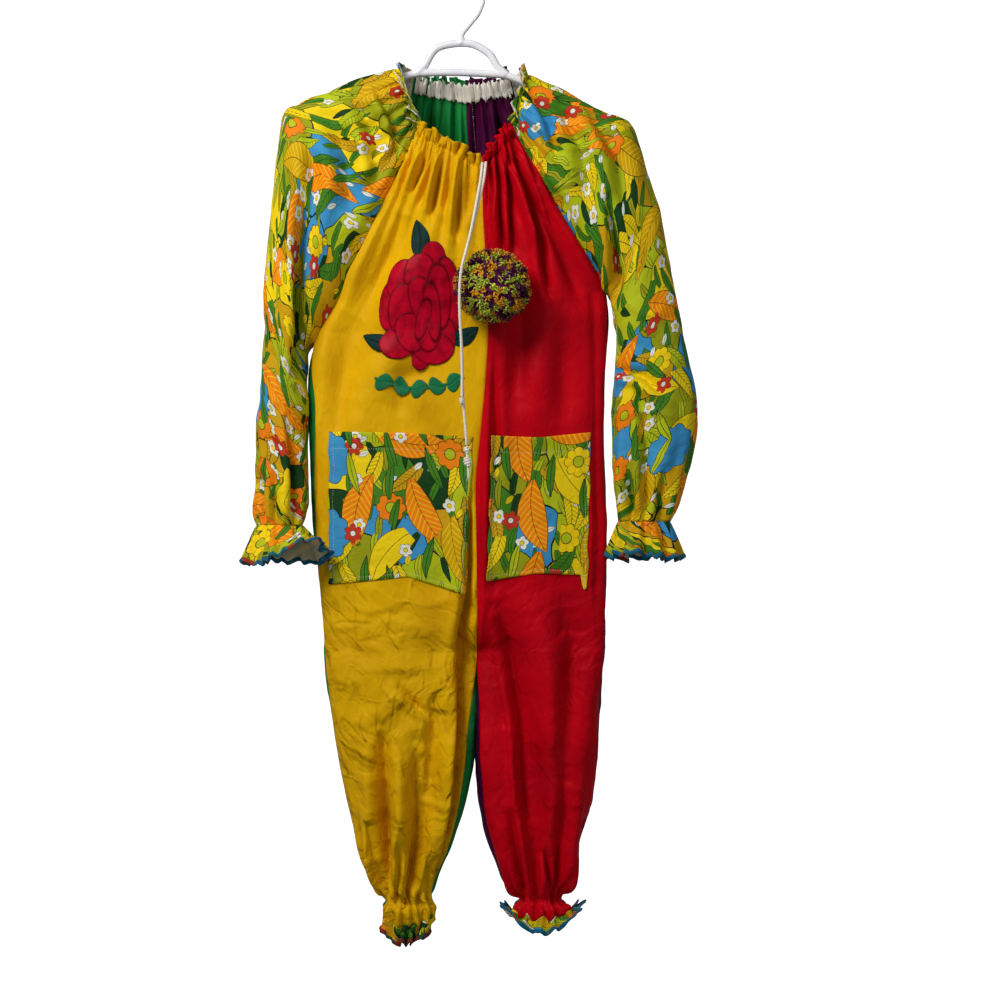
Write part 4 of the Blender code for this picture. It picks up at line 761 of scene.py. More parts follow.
class Half:
    # one side of the body, from the raglan seam or side round to the centre
    def __init__(self, raglan, side, inseam, ridge, undersleeve):
        self.raglan, self.side, self.inseam = raglan, side, inseam
        self.ridge, self.undersleeve = ridge, undersleeve

    def edge(self, row, which):
        xyz = []
        for axis in "xyz":
            below = self.side[axis] if axis in self.side else np.zeros(len(self.side["x"]))
            xyz.append(twoPart(self.raglan[which + axis.upper()], below, underarm, row))
        return np.stack(np.broadcast_arrays(*xyz), -1)

    def body(self, row, angle, which):
        row, angle = np.broadcast_arrays(np.asarray(row, float), angle)
        angle = np.where(angle < -math.pi, angle + 2 * math.pi, angle)
        edge = self.edge(row, which)
        inFront = angle >= 0
        halfDepth = np.where(
            inFront,
            twoPart(centre["frontDepth"], self.inseam["depth"], crotch, row),
            twoPart(centre["backDepth"], self.inseam["depth"], crotch, row))
        legZ = self.side["z"][crotch - underarm:]
        middleX, middleZ = (
            np.where(inFront, twoPart(centre["front" + axis], leg, crotch, row),
                     twoPart(centre["back" + axis], leg, crotch, row))
            for axis, leg in (("X", self.inseam["x"]), ("Z", legZ)))
        end = np.radians(twoPart(centre["turn"], np.full(len(self.inseam["x"]), 180.0), crotch, row))
        sharp = np.radians(np.interp(row, (0, underarm, underarm + 1, underarm + 2), (24, 16, 5, 0)))
        vee = np.interp(row, (crotch - 2, crotch, crotch + 3), (0.0, 0.5, 0.0))
        turned = np.minimum(np.abs(angle), end)
        leaned = sharp + turned * (1 - sharp / end)
        across = (np.cos(sharp) - np.cos(leaned)) / (np.cos(sharp) - np.cos(end))
        share = turned / end
        across = across - vee * share ** 2 * (1 - share)
        flat = np.interp(row, *flatness)
        rise = np.maximum((np.sin(leaned) - np.sin(sharp)) / (1 - np.sin(sharp)), 0) ** flat
        x = lerp(edge[..., 0], middleX, across)
        y = lerp(edge[..., 1], np.where(inFront, -halfDepth, halfDepth), rise)
        z = lerp(edge[..., 2], middleZ, across)
        return np.stack((x, y, z), -1)

    def front(self, row, u):
        out, inner, end = self.wraps(row)
        return self.body(row, lerp(out, end - inner, u), "front")

    def back(self, row, u):
        out, inner, end = self.wraps(row)
        return self.body(row, lerp(out, -(end + inner), u), "back")

    def wraps(self, row):
        out = twoPart(np.zeros(underarm + 1), self.side["wrapOut"], underarm, row)
        inner = twoPart(np.zeros(crotch + 1), self.inseam["wrapIn"], crotch, row)
        end = twoPart(centre["turn"], np.full(len(self.inseam["x"]), 180.0), crotch, row)
        return np.radians(out), np.radians(inner), np.radians(end)

    def sleeve(self, row, s):
        row, s = np.broadcast_arrays(np.asarray(row, float), s)
        crowd = np.interp(row, (0, 5), (cloth["neckCrowd"], 1.0))
        s = s / (s + crowd * (1 - s))
        ends = []
        for which in ("front", "back"):
            xyz = [twoPart(self.raglan[which + axis.upper()], self.undersleeve[axis], underarm, row)
                   for axis in "xyz"]
            ends.append(np.stack(xyz, -1))
        front, back = ends
        ridge = np.stack((readColumn(self.ridge["x"], row), 0 * row, readColumn(self.ridge["z"], row)), -1)
        roundness = np.interp(row, (0, underarm), (1.1, 2.0))
        away = (1 - np.sin(math.pi * s) ** roundness)[..., None]
        point = ridge + (lerp(front, back, s[..., None]) - ridge) * away
        turn = (1 - np.cos(math.pi * s)) / 2
        bulge = readColumn(self.ridge["bulge"], row)
        point[..., 1] = lerp(front[..., 1], back[..., 1], turn) - bulge * np.sin(2 * math.pi * s)
        return point


halves = {
    "left": Half(raglanLeft, sideLeft, inseamLeft, ridgeLeft, undersleeveLeft),
    "right": Half(raglanRight, sideRight, inseamRight, ridgeRight, undersleeveRight),
}


def gridNormals(grid, closed=False):
    across, down = np.gradient(grid, axis=1), np.gradient(grid, axis=0)
    if closed:
        across[:, 0] = across[:, -1] = (grid[:, 1] - grid[:, -2]) / 2
    return unit(np.cross(down, across))


def clothPlaces(grid):
    # how far each point is across and down the flat cloth, from the middle of its top edge
    middle = grid.shape[1] // 2
    steps = np.linalg.norm(np.diff(grid, axis=1), axis=-1)
    across = np.concatenate((np.zeros((len(grid), 1)), np.cumsum(steps, axis=1)), axis=1)
    across = across - across[:, middle:middle + 1]
    steps = np.linalg.norm(np.diff(grid, axis=0), axis=-1)
    down = np.concatenate((np.zeros((1, grid.shape[1])), np.cumsum(steps, axis=0)))
    share = 0.75
    down = down * (1 - share) + down[:, middle:middle + 1] * share
    return np.stack((across, -down), -1)


def shell(name, grid, normals, places, wall, outside, inside=None, closed=False):
    # cloth on a grid of points: rows run down, and columns run round the outside
    rows, columns = grid.shape[:2]
    half = normals * wall / 2
    points = np.concatenate(((grid + half).reshape(-1, 3), (grid - half).reshape(-1, 3)))
    index = np.arange(rows * columns).reshape(rows, columns)
    under = rows * columns
    a, b, c, d = (part.reshape(-1) for part in (index[:-1, :-1], index[1:, :-1], index[1:, 1:], index[:-1, 1:]))
    outer = np.stack((a, b, c, d), -1)
    inner = np.stack((a, d, c, b), -1) + under
    top, low = index[0], index[-1]
    rims = [np.stack((top[:-1], top[1:], top[1:] + under, top[:-1] + under), -1),
            np.stack((low[:-1], low[:-1] + under, low[1:] + under, low[1:]), -1)]
    left, right = index[:, 0], index[:, -1]
    if not closed:
        rims += [np.stack((left[:-1], left[:-1] + under, left[1:] + under, left[1:]), -1),
                 np.stack((right[1:] + under, right[:-1] + under, right[:-1], right[1:]), -1)]
    faces = np.concatenate((outer, inner, *rims))
    kept = np.arange(len(points))
    if closed:
        # the last column is the first one again
        kept[right], kept[right + under] = left, left + under
    used, joined = np.unique(kept, return_inverse=True)
    made = newObject(name, points[used], joined.reshape(-1)[faces].tolist(), finishes[outside])
    mesh = made.data
    uv = mesh.uv_layers.new(name="UVMap")
    flat = np.concatenate((places.reshape(-1, 2),) * 2) * mm
    uv.data.foreach_set("uv", flat[faces.reshape(-1)].reshape(-1).astype(np.float32))
    if inside:
        mesh.materials.append(finishes[inside])
        which = np.zeros(len(faces), np.int32)
        which[len(outer):len(outer) + len(inner)] = 1
        mesh.polygons.foreach_set("material_index", which)
    mesh.update()
    return made


# main creases, listed under the side they are on: kind, width, depth, then each x and z they run through
creases = {
    "front_left": {
        "front": (
            ("fold", 6, 5.5, -50, -237, -53, -268, -66, -303),
            ("fold", 5, 4.0, -66, -230, -71, -258, -83, -293),
            ("trough", 5, 4.0, -38, -240, -42, -274, -52, -318),
            ("fold", 6, 6.0, -24, -243, -28, -268, -39, -335),
            ("trough", 5, 4.0, -10, -248, -14, -276, -20, -324),
            ("fold", 6, 6.0, 3, -251, 0, -279, -6, -363),
            ("trough", 5, 4.5, 17, -254, 14, -282, 11, -338),
            ("trough", 22, 7.0, -78, -328, -94, -376, -126, -432, -151, -472),
            ("trough", 26, 4.0, -115, -447, -140, -503, -157, -587),
            ("step", 7, 3.2, -186, -548, -195, -643, -197, -755, -196, -937),
            ("trough", 16, 3.5, -161, -489, -171, -587, -174, -643),
            ("fold", 8, 8.0, 14, -727, 13, -811, 8, -881, -1, -937),
            ("ridge", 8, 5.0, 0, -909, -7, -1007, -17, -1119, -28, -1203, -49, -1273),
            ("trough", 9, 9.0, 6, -870, 4, -1035, -6, -1147, -21, -1217, -40, -1270),
            ("ridge", 11, 2.0, -82, -1060, -84, -1130, -86, -1240),
            ("trough", 12, 6.0, -34, -1010, -42, -1120, -58, -1250),
            ("ridge", 10, 2.0, -132, -1080, -122, -1160, -108, -1250),
            ("step", 6, 2.5, -161, -872, -123, -883, -87, -873),
            ("step", 6, -2.5, -123, -867, -81, -892, -45, -898),
            ("step", 7, 2.8, -59, -876, -34, -873, -7, -862),
            ("step", 6, 2.5, -176, -908, -151, -904, -126, -892),
            ("step", 7, -3.0, -132, -925, -95, -915, -59, -906),
            ("step", 6, 2.5, -50, -908, -28, -915, -6, -926),
            ("step", 7, 3.5, -140, -964, -84, -961, -22, -962),
            ("step", 7, 3.0, -176, -975, -154, -981, -137, -979),
            ("fold", 6, 4.0, -84, -985, -70, -1002, -45, -1026),
            ("step", 7, 3.5, -78, -986, -92, -999, -108, -1011),
            ("step", 6, 3.0, -164, -1038, -140, -1034, -126, -1046, -106, -1045),
            ("step", 8, 3.5, -81, -988, -104, -1030, -134, -1087),
            ("step", 8, -3.0, -74, -1010, -95, -1046, -127, -1101),
            ("step", 7, 3.0, -28, -974, -45, -1007, -55, -1046),
            ("step", 7, -3.0, -154, -1066, -123, -1074, -90, -1066),
            ("step", 7, 2.5, -67, -1066, -42, -1080, -22, -1074),
            ("step", 7, 3.0, -146, -1128, -112, -1114, -81, -1122),
            ("step", 7, -2.5, -84, -1147, -56, -1133, -28, -1142),
            ("step", 6, 2.5, -137, -1164, -115, -1156, -95, -1164),
            ("trough", 9, 8.0, -108, -1040, -104, -1147, -97, -1280),
            ("fold", 6, 5.0, -83, -1189, -84, -1240, -87, -1290),
            ("trough", 8, 7.0, -60, -1060, -62, -1170, -70, -1285),
            ("fold", 5, 4.0, -123, -1175, -116, -1231, -105, -1292),
            ("fold", 5, 5.0, -67, -1212, -71, -1245, -76, -1287),
            ("fold", 5, 4.0, -45, -1217, -53, -1259, -60, -1290),
            ("trough", 5, 3.5, -134, -1189, -125, -1242, -112, -1290),
            ("trough", 14, 2.5, -84, -615, -78, -559, -42, -548),
        ),
    },
    "front_right": {
        "front": (
            ("fold", 6, 6.5, 50, -240, 52, -272, 56, -328, 60, -380),
            ("fold", 6, 6.0, 63, -234, 67, -268, 70, -321, 73, -394),
            ("fold", 8, 9.0, 73, -223, 78, -258, 92, -296, 108, -356, 122, -442),
            ("trough", 5, 4.0, 41, -248, 42, -279, 43, -327),
            ("fold", 5, 4.5, 83, -220, 92, -251, 109, -288),
            ("trough", 12, 5.0, 119, -321, 148, -394, 168, -447),
            ("trough", 16, 4.0, 84, -447, 87, -510, 78, -587),
            ("step", 8, 3.5, 186, -531, 182, -643, 181, -811, 185, -937),
            ("ridge", 7, 3.0, 36, -475, 38, -643, 35, -811, 29, -923),
            ("trough", 6, 3.0, 48, -503, 49, -671, 45, -853),
            ("trough", 20, 3.0, 148, -850, 151, -923, 140, -1007),
            ("trough", 25, 6.0, 56, -850, 70, -980, 96, -1130, 110, -1260),
            ("ridge", 12, 1.8, 120, -900, 126, -1010, 128, -1140, 122, -1250),
            ("trough", 8, 4.0, 146, -1100, 142, -1180, 132, -1280),
            ("fold", 7, 6.0, 53, -895, 63, -962, 77, -1035, 87, -1147, 98, -1231, 109, -1284),
            ("trough", 12, 4.5, 162, -912, 151, -1007, 143, -1108),
            ("trough", 8, 4.5, 174, -1161, 168, -1217, 158, -1276),
            ("fold", 6, 5.0, 118, -1214, 123, -1248, 127, -1287),
            ("trough", 6, 4.5, 70, -1161, 78, -1217, 92, -1287),
            ("trough", 6, 4.0, 141, -1217, 141, -1254, 140, -1290),
            ("ridge", 8, 3.5, 70, -1007, 84, -1091, 95, -1189, 106, -1259),
            ("step", 6, 2.0, 92, -990, 109, -1030, 126, -1077),
            ("step", 6, 2.0, 56, -873, 84, -884, 112, -876),
            ("step", 7, -2.5, 119, -923, 148, -906, 182, -912),
            ("step", 7, 2.0, 112, -962, 134, -979, 165, -976),
            ("step", 7, -2.0, 87, -1091, 119, -1080, 140, -1091),
            ("step", 7, 2.0, 112, -1156, 140, -1144, 165, -1150),
            ("trough", 18, 2.5, 140, -503, 148, -587, 143, -626),
        ),
    },
    "sleeve_left": {
        "front": (
            ("fold", 9, 9.0, -216, -293, -221, -363, -225, -461, -228, -556),
            ("step", 8, 4.0, -260, -565, -255, -629, -248, -674, -244, -734),
            ("step", 8, 3.5, -224, -447, -207, -510, -204, -565),
            ("trough", 12, 4.0, -182, -195, -154, -251, -151, -327),
            ("trough", 10, 4.0, -140, -174, -118, -223, -115, -293),
            ("fold", 7, 4.0, -115, -164, -95, -201, -90, -237),
            ("trough", 9, 3.5, -210, -223, -199, -293, -207, -363),
            ("step", 7, 3.0, -266, -447, -246, -489, -230, -498),
            ("step", 7, -3.0, -269, -520, -249, -540, -227, -559),
            ("step", 7, 3.0, -272, -604, -252, -593, -227, -601),
            ("step", 7, -2.5, -274, -660, -252, -652, -224, -666),
            ("fold", 6, 4.0, -238, -615, -230, -671, -231, -755),
            ("trough", 5, 4.0, -277, -694, -272, -727, -269, -761),
            ("trough", 5, 4.0, -258, -699, -255, -733, -255, -761),
        ),
        "back": (
            ("trough", 12, 5.0, -224, -279, -230, -391, -238, -517),
            ("step", 8, 3.5, -266, -489, -244, -520, -216, -514),
            ("step", 8, -3.0, -269, -587, -246, -604, -218, -593),
            ("fold", 7, 4.0, -252, -601, -255, -671, -258, -755),
            ("trough", 10, 4.0, -151, -181, -146, -251, -160, -335),
        ),
    },
    "sleeve_right": {
        "front": (
            ("fold", 8, 6.0, 204, -314, 213, -377, 218, -447),
            ("trough", 10, 4.5, 140, -184, 168, -237, 179, -314),
            ("fold", 7, 4.0, 98, -167, 119, -201, 134, -251),
            ("trough", 9, 4.0, 182, -195, 218, -251, 232, -321),
            ("step", 8, 3.5, 213, -195, 244, -237, 260, -276),
            ("step", 8, 4.0, 221, -447, 252, -472, 291, -470),
            ("step", 8, -3.5, 224, -503, 258, -520, 302, -512),
            ("fold", 8, 5.0, 218, -548, 249, -556, 286, -584),
            ("step", 8, 3.5, 216, -615, 252, -604, 302, -615),
            ("step", 7, -3.0, 221, -660, 258, -652, 297, -668),
            ("fold", 7, 4.5, 244, -568, 252, -643, 255, -748),
            ("trough", 6, 4.0, 227, -685, 235, -724, 238, -758),
            ("trough", 6, 4.0, 283, -685, 277, -724, 274, -758),
        ),
        "back": (
            ("trough", 12, 5.0, 224, -307, 244, -405, 266, -503),
            ("step", 8, 3.5, 224, -489, 255, -509, 294, -500),
            ("step", 8, -3.0, 227, -587, 260, -604, 302, -587),
            ("fold", 7, 4.0, 258, -601, 260, -671, 258, -755),
            ("trough", 10, 4.0, 140, -181, 174, -251, 196, -335),
        ),
    },
    "back_left": {
        "back": (
            ("trough", 9, 5.0, -50, -150, -55, -181, -59, -237, -70, -321),
            ("fold", 8, 5.5, -34, -156, -34, -195, -36, -265, -50, -377),
            ("trough", 9, 5.0, -17, -159, -14, -209, -14, -293, -20, -391),
            ("fold", 7, 5.0, -4, -162, -1, -209, 0, -279, -3, -363),
            ("trough", 20, 5.0, -95, -223, -115, -307, -151, -433),
            ("step", 9, 3.5, -182, -531, -188, -699, -185, -867),
            ("step", 8, 3.0, -162, -876, -112, -890, -42, -876),
            ("step", 8, -3.0, -154, -951, -90, -937, -14, -957),
            ("step", 8, 3.5, -160, -1030, -112, -1046, -42, -1030),
            ("fold", 9, 6.0, -56, -923, -67, -1063, -78, -1189, -83, -1280),
            ("trough", 9, 5.0, -112, -1007, -106, -1147, -98, -1280),
            ("trough", 7, 4.0, -45, -1147, -56, -1217, -67, -1287),
            ("trough", 26, 4.0, -56, -489, -70, -643, -56, -811),
        ),
    },
    "back_right": {
        "back": (
            ("fold", 8, 5.0, 28, -164, 29, -209, 34, -293, 36, -377),
            ("trough", 9, 5.0, 45, -159, 49, -209, 59, -293, 67, -391),
            ("fold", 8, 5.5, 62, -153, 70, -209, 90, -279, 112, -377),
            ("trough", 20, 5.0, 106, -209, 134, -293, 168, -377),
            ("step", 9, 3.5, 182, -503, 185, -671, 179, -867),
            ("step", 8, 3.0, 56, -881, 112, -895, 176, -878),
            ("step", 8, -3.0, 50, -962, 112, -946, 174, -965),
            ("step", 8, 3.0, 62, -1049, 112, -1066, 168, -1046),
            ("fold", 9, 6.0, 90, -923, 101, -1063, 106, -1189, 112, -1280),
            ("trough", 9, 5.0, 148, -1007, 143, -1147, 134, -1280),
            ("trough", 7, 4.0, 73, -1147, 84, -1217, 95, -1287),
            ("trough", 26, 4.0, 98, -489, 112, -643, 98, -811),
        ),
    },
}


def alongLine(x, z, line):
    # how far off a crease each point lies, to its right, and how far along it
    line = np.array(line, float)
    lengths = np.linalg.norm(np.diff(line, axis=0), axis=1)
    best, off, along = np.full(x.shape, 1e9), np.zeros(x.shape), np.zeros(x.shape)
    run = 0.0
    for (ax, az), (bx, bz), length in zip(line[:-1], line[1:], lengths):
        ux, uz = (bx - ax) / length, (bz - az) / length
        t = np.clip((x - ax) * ux + (z - az) * uz, 0, length)
        gapX, gapZ = x - ax - ux * t, z - az - uz * t
        gap = np.hypot(gapX, gapZ)
        nearer = gap < best
        best = np.where(nearer, gap, best)
        off = np.where(nearer, gap * np.sign(ux * gapZ - uz * gapX), off)
        along = np.where(nearer, run + t, along)
        run += length
    return off, along / run


creaseShapes = {
    "trough": lambda d, w: -np.exp(-(d / w) ** 2) + 0.45 * np.exp(-((np.abs(d) - 2.3 * w) / (1.3 * w)) ** 2),
    "ridge": lambda d, w: np.exp(-np.abs(d / (1.2 * w)) ** 1.3),
    "fold": lambda d, w: -np.exp(-(d / np.where(d > 0, 1.3 * w, 0.5 * w)) ** 2)
    + 0.55 * np.exp(-((d + 1.5 * w) / (1.1 * w)) ** 2),
    "step": lambda d, w: np.where(d > 0, np.exp(-np.abs(d) / (2.2 * w)), np.exp(-np.abs(d) / (0.55 * w))),
}
creaseScale = {"trough": (3.0, 0.95), "ridge": (2.2, 0.8), "fold": (3.0, 0.85), "step": (0.9, 0.8)}


def creaseLift(name, grid, normal):
    lift = np.zeros(grid.shape[:2])
    for face, rows in creases[name].items():
        seen = smooth(-0.05, 0.25, normal[..., 1] * (-1 if face == "front" else 1))
        for kind, width, depth, *line in rows:
            off, along = alongLine(grid[..., 0], grid[..., 2], np.reshape(line, (-1, 2)))
            ends = np.sin(math.pi * np.clip(along, 0.02, 0.98)) ** 0.55
            deeper, wider = creaseScale[kind]
            lift += deeper * depth * ends * seen * creaseShapes[kind](off, wider * width)
    return lift


def fineRows(first, last):
    # the same fine rows for every panel, so that seams meet point for point
    rows = []
    for row in range(first, last):
        longest = 0
        for half in halves.values():
            for which in ("front", "back"):
                ends = half.edge(np.array([row, row + 1.0]), which)
                longest = max(longest, np.linalg.norm(ends[1] - ends[0]))
        rows.extend(row + np.arange(round(longest / cloth["step"])) / round(longest / cloth["step"]))
    return np.array([*rows, float(last)])


def gatherWave(u, waves):
    # the solids' gathers, as a smooth wave; u runs the way the columns run
    column = np.arange(2 * waves + 1)
    wave = np.where(column % 2, -1.0, 1.0) * (1 + 0.3 * np.sin(1.7 * column + waves))
    wave[0] = wave[-1] = 0
    return readColumn(wave, u * 2 * waves)


def fineGathers(u, rows, count, top, reach, seed):
    # small puckers off a casing: rounded tops and sharp valleys, each running on for its own length
    warp = u + 0.35 / count * swell(u, 0.35, seed) + 0.012 * swell(u, 0.09, seed + 1)
    own = 1 + 0.45 * swell(u, 0.13, seed + 2, 4)
    down = np.abs(rows[:, None] - top) / (reach * (1 + 0.5 * swell(u, 0.10, seed + 3, 4))[None, :])
    pucker = 1.9 * np.abs(np.sin(math.pi * count * warp)) ** 0.8 - 1.1
    return own * pucker * np.exp(-down ** 1.4)


panelStyles = {
    "front": dict(waves=8, gathers=("neck", "ankle"), puckers=13, pucker=3.2, columns=104, crumple=0.6),
    "back": dict(waves=6, gathers=("neck", "ankle"), puckers=13, pucker=2.8, columns=66, crumple=0.8),
    "sleeve": dict(waves=10, gathers=("neck", "wrist"), puckers=18, pucker=2.6, columns=92, crumple=0.8),
}
legGap = 24.4
bunchTop = -119.0
elastic = {"z": -1281.0, "puff": -1299.0, "tall": 9.0}
gatherTables = {"neck": neckGather, "ankle": ankleGather, "wrist": wristGather}


def panel(name, surface, rows, backwards, seed):
    kind = name.split("_")[0]
    style = panelStyles[kind]
    u = np.linspace(0, 1, style["columns"] + 1)
    grid = surface(rows[:, None], u[None, :])
    if backwards:
        grid, u = grid[:, ::-1], u[::-1]
    turn = np.linspace(0, 1, len(u))
    normal = gridNormals(grid)
    at = clothPlaces(grid)
    wide = np.linalg.norm(np.diff(grid, axis=1), axis=-1).sum(axis=1)
    offSeam = smooth(0, 9, np.minimum(turn, 1 - turn)[None, :] * wide[:, None])
    wave = gatherWave(turn, style["waves"])
    lift = 0
    for gather in style["gathers"]:
        depth = gatherTables[gather]
        lift = lift + np.outer(np.interp(rows, depth["row"], depth["depth"]), wave)
    fold = folds[name]
    for n in range(len(fold["top"])):
        first, last = fold["first"][n], fold["last"][n]
        along = np.clip((rows - first) / (last - first), 0, 1)
        place = lerp(fold["top"][n], fold["bottom"][n], along)
        near = np.exp(-((u[None, :] - place[:, None]) / fold["width"][n]) ** 2 * 2)
        lift = lift + fold["depth"][n] * np.sin(math.pi * along)[:, None] * offSeam * near
    puckers = fineGathers(turn, rows, style["puckers"], 0.0, 1.5, seed) * style["pucker"]
    hem = 24.0 if kind != "sleeve" else 16.0
    puckers = puckers + fineGathers(turn, rows, style["puckers"] - 3, hem, 0.9, seed + 20) * style["pucker"] * 0.7
    low = smooth(-560, -900, grid[..., 2]) if kind != "sleeve" else smooth(-240, -420, grid[..., 2])
    rough = crumple(at, 46, seed + 5) * style["crumple"] * (0.25 + 0.95 * low)
    soft = swell(at, 150, seed + 6) * 1.6 + swell(at, 62, seed + 7) * 0.5
    lift = lift + (puckers + rough + soft + creaseLift(name, grid, normal)) * offSeam
    if kind != "sleeve":
        # the ankle's elastic draws the cloth in, and it puffs out again below
        warp = turn + 0.02 * swell(turn, 0.2, seed + 30)
        lobes = np.abs(np.sin(math.pi * 7.5 * warp))[None, :]
        drawn = np.exp(-((grid[..., 2] - elastic["z"]) / elastic["tall"]) ** 2)
        puffed = np.exp(-((grid[..., 2] - elastic["puff"]) / elastic["tall"]) ** 2)
        lift = lift + (puffed * (5.5 * lobes - 0.6) - drawn * (2.6 + 1.2 * (1 - lobes))) * offSeam
        hemWave = 4.0 * swell(turn, 0.16, seed + 31) * np.minimum(1, 8 * turn * (1 - turn))
        hemLine = 9.0 * np.abs(2 * turn - 1) ** 2 + hemWave
    grid = grid + normal * lift[..., None]
    if kind != "sleeve":
        grid[..., 2] += smooth(-1284, -1312, grid[..., 2]) * hemLine[None, :]
    # the left sleeve hangs against the body's side
    x, y, z = (grid[..., axis] for axis in range(3))
    beside = smooth(-470, -520, z) * (1 - smooth(-728, -748, z))
    if name == "sleeve_left":
        grid[..., 0] += 3.2 * beside * smooth(-238, -218, x)
    if name == "back_left":
        grid[..., 0] -= 3.0 * beside * smooth(-198, -212, x) * smooth(-4, 14, y)
    # between the knees and the crotch the legs hang against each other
    toOther = -1 if name.endswith("right") else 1
    touching = smooth(-1105, -1075, grid[..., 2]) * (1 - smooth(-925, -905, grid[..., 2]))
    grid[..., 0] += toOther * 1.5 * touching * smooth(-20, -4, (grid[..., 0] - legGap) * toOther)

    # the frill stands on the casing row, its height and its waves uneven
    stand = frillStand.get(name, 0) * np.sin(math.pi * u)
    below = np.searchsorted(rows, 1.0)
    up = unit(unit(grid[0] - grid[below]) + stand[:, None] * np.array((0, 0, 1)))
    out = gridNormals(grid)[0]
    joined = smooth(0, 0.05, np.minimum(turn, 1 - turn))
    tall = cloth["frill"] * (1 + 0.17 * swell(turn, 0.19, seed + 8) * joined)
    ripple = wave * 0.4 + 3.4 * swell(turn, 0.12, seed + 9, 4) + 1.1 * swell(turn, 0.045, seed + 10, 4)
    bunch, flop = np.zeros(len(turn)), np.zeros(len(turn))
    if kind == "back":
        tall = tall * 1.15
    if name == "back_right":
        # it stands up behind the hanger, beside the sleeve
        tall = tall * (1 + 0.75 * np.exp(-((turn - 0.10) / 0.06) ** 2))
    if kind == "sleeve":
        bunch = np.exp(-((turn - 0.5) / 0.15) ** 2)
    if name == "sleeve_left":
        # towards the front it flops over and shows its wrong side
        flop = smooth(-6, -22, grid[0][:, 1]) * smooth(0.03, 0.12, np.minimum(turn, 1 - turn))
    if kind == "sleeve":
        # bunched on the hanger: lower and rounder, with two loops
        tall = tall * (1 - 0.36 * bunch)
        ripple = ripple + 4.0 * bunch * np.sin(2 * math.pi * (turn - 0.5) / 0.13 + seed)
    frill = []
    for share in np.linspace(1, 0, 8)[:-1]:
        curl = cloth["frillFlare"] * share ** 1.6 + ripple * joined * share ** 0.8 + 15 * flop * share
        raised = tall * share * (1 - 0.9 * flop * share)
        frill.append(grid[0] + up * raised[:, None] + out * (curl * joined)[:, None])
        frill[-1][:, 0] -= toOther * bunch * share * (6.0 + 4.0 * np.sin(2 * math.pi * 9 * turn))
        if kind == "sleeve":
            over = np.maximum(0, frill[-1][:, 2] - bunchTop)
            frill[-1][:, 2] -= over * 0.8
            frill[-1][:, 0] -= toOther * over * 0.5
    grid = np.concatenate((np.stack(frill), grid))
    # the casing is drawn in and puffs on both sides of its stitching
    top = len(frill)
    for n, pull in ((top - 1, -0.5), (top, -1.5), (top + 1, -0.7)):
        grid[n] += out * (pull * joined)[:, None]
    return {"name": name, "grid": grid, "top": top, "u": u, "turn": turn, "rows": rows}


bodyRows = np.concatenate((fineRows(0, 8), fineRows(8, 25)[1:]))
sleeveRows = np.concatenate((fineRows(0, 8), fineRows(8, 16)[1:]))
panels = {}
for seed, (side, half) in enumerate(halves.items()):
    onLeft = side == "left"
    for kind, surface, rows, backwards in (
            ("front", half.front, bodyRows, not onLeft), ("back", half.back, bodyRows, onLeft),
            ("sleeve", half.sleeve, sleeveRows, onLeft)):
        name = f"{kind}_{side}"
        panels[name] = panel(name, surface, rows, backwards, 11 + 40 * seed + len(kind))
print("panels shaped:", {name: made["grid"].shape[:2] for name, made in panels.items()})


def meetAtSeams(depth=1.1, reach=5.0):
    # panels that meet lean the same way there, and the cloth dips into the seam
    met = {}
    for made in panels.values():
        made["normals"] = gridNormals(made["grid"])
        grid = made["grid"]
        for j in (0, -1):
            for i in range(made["top"], len(grid)):
                met.setdefault(tuple(np.round(grid[i, j], 2)), []).append((made, i, j))
    for places in met.values():
        if len(places) > 1:
            total = unit(sum(made["normals"][i, j] for made, i, j in places))
            for made, i, j in places:
                made["normals"][i, j] = total
    for made in panels.values():
        grid, normals = made["grid"], made["normals"]
        for edge, step in ((0, 1), (-1, -1)):
            run = np.zeros(len(grid))
            lean = normals[:, edge].copy()
            previous = grid[:, edge].copy()
            for n in range(0, 5):
                j = edge + step * n
                here = grid[:, j].copy()
                run += np.linalg.norm(here - previous, axis=-1)
                previous = here
                dip = depth * np.exp(-(run / reach) ** 2 * 2)
                dip[:made["top"]] = 0
                grid[:, j] -= lean * dip[:, None]
        inside = gridNormals(grid)
        inside[:, 0], inside[:, -1] = normals[:, 0], normals[:, -1]
        made["normals"] = inside


meetAtSeams()

# each panel's cut: width, length and area, before it is gathered
cuts = {
    "front_left": ("yellow", (0.330, 1.130), 0.262), "front_right": ("red", (0.300, 1.130), 0.222),
    "back_left": ("green", (0.330, 1.240), 0.292), "back_right": ("purple", (0.320, 1.240), 0.258),
    "sleeve_left": ("print", (0.330, 0.800), 0.236), "sleeve_right": ("print", (0.330, 0.790), 0.230),
}
sheets = {}
for name, made in panels.items():
    finish, flat, area = cuts[name]
    places = clothPlaces(made["grid"])
    places[..., 0] += 400 * list(cuts).index(name)
    made["object"] = shell(pieceName(name, "cloth"), made["grid"], made["normals"], places,
                           cloth["wall"], finish, "printBack" if finish == "print" else None)
    settle(made["object"], finish, name)
    sheets[name] = dict(flat=flat, area=area, held="hung", rests_on=["hanger_frame"])
print("panels made")


# ruffles past the elastic, each with a bound edge

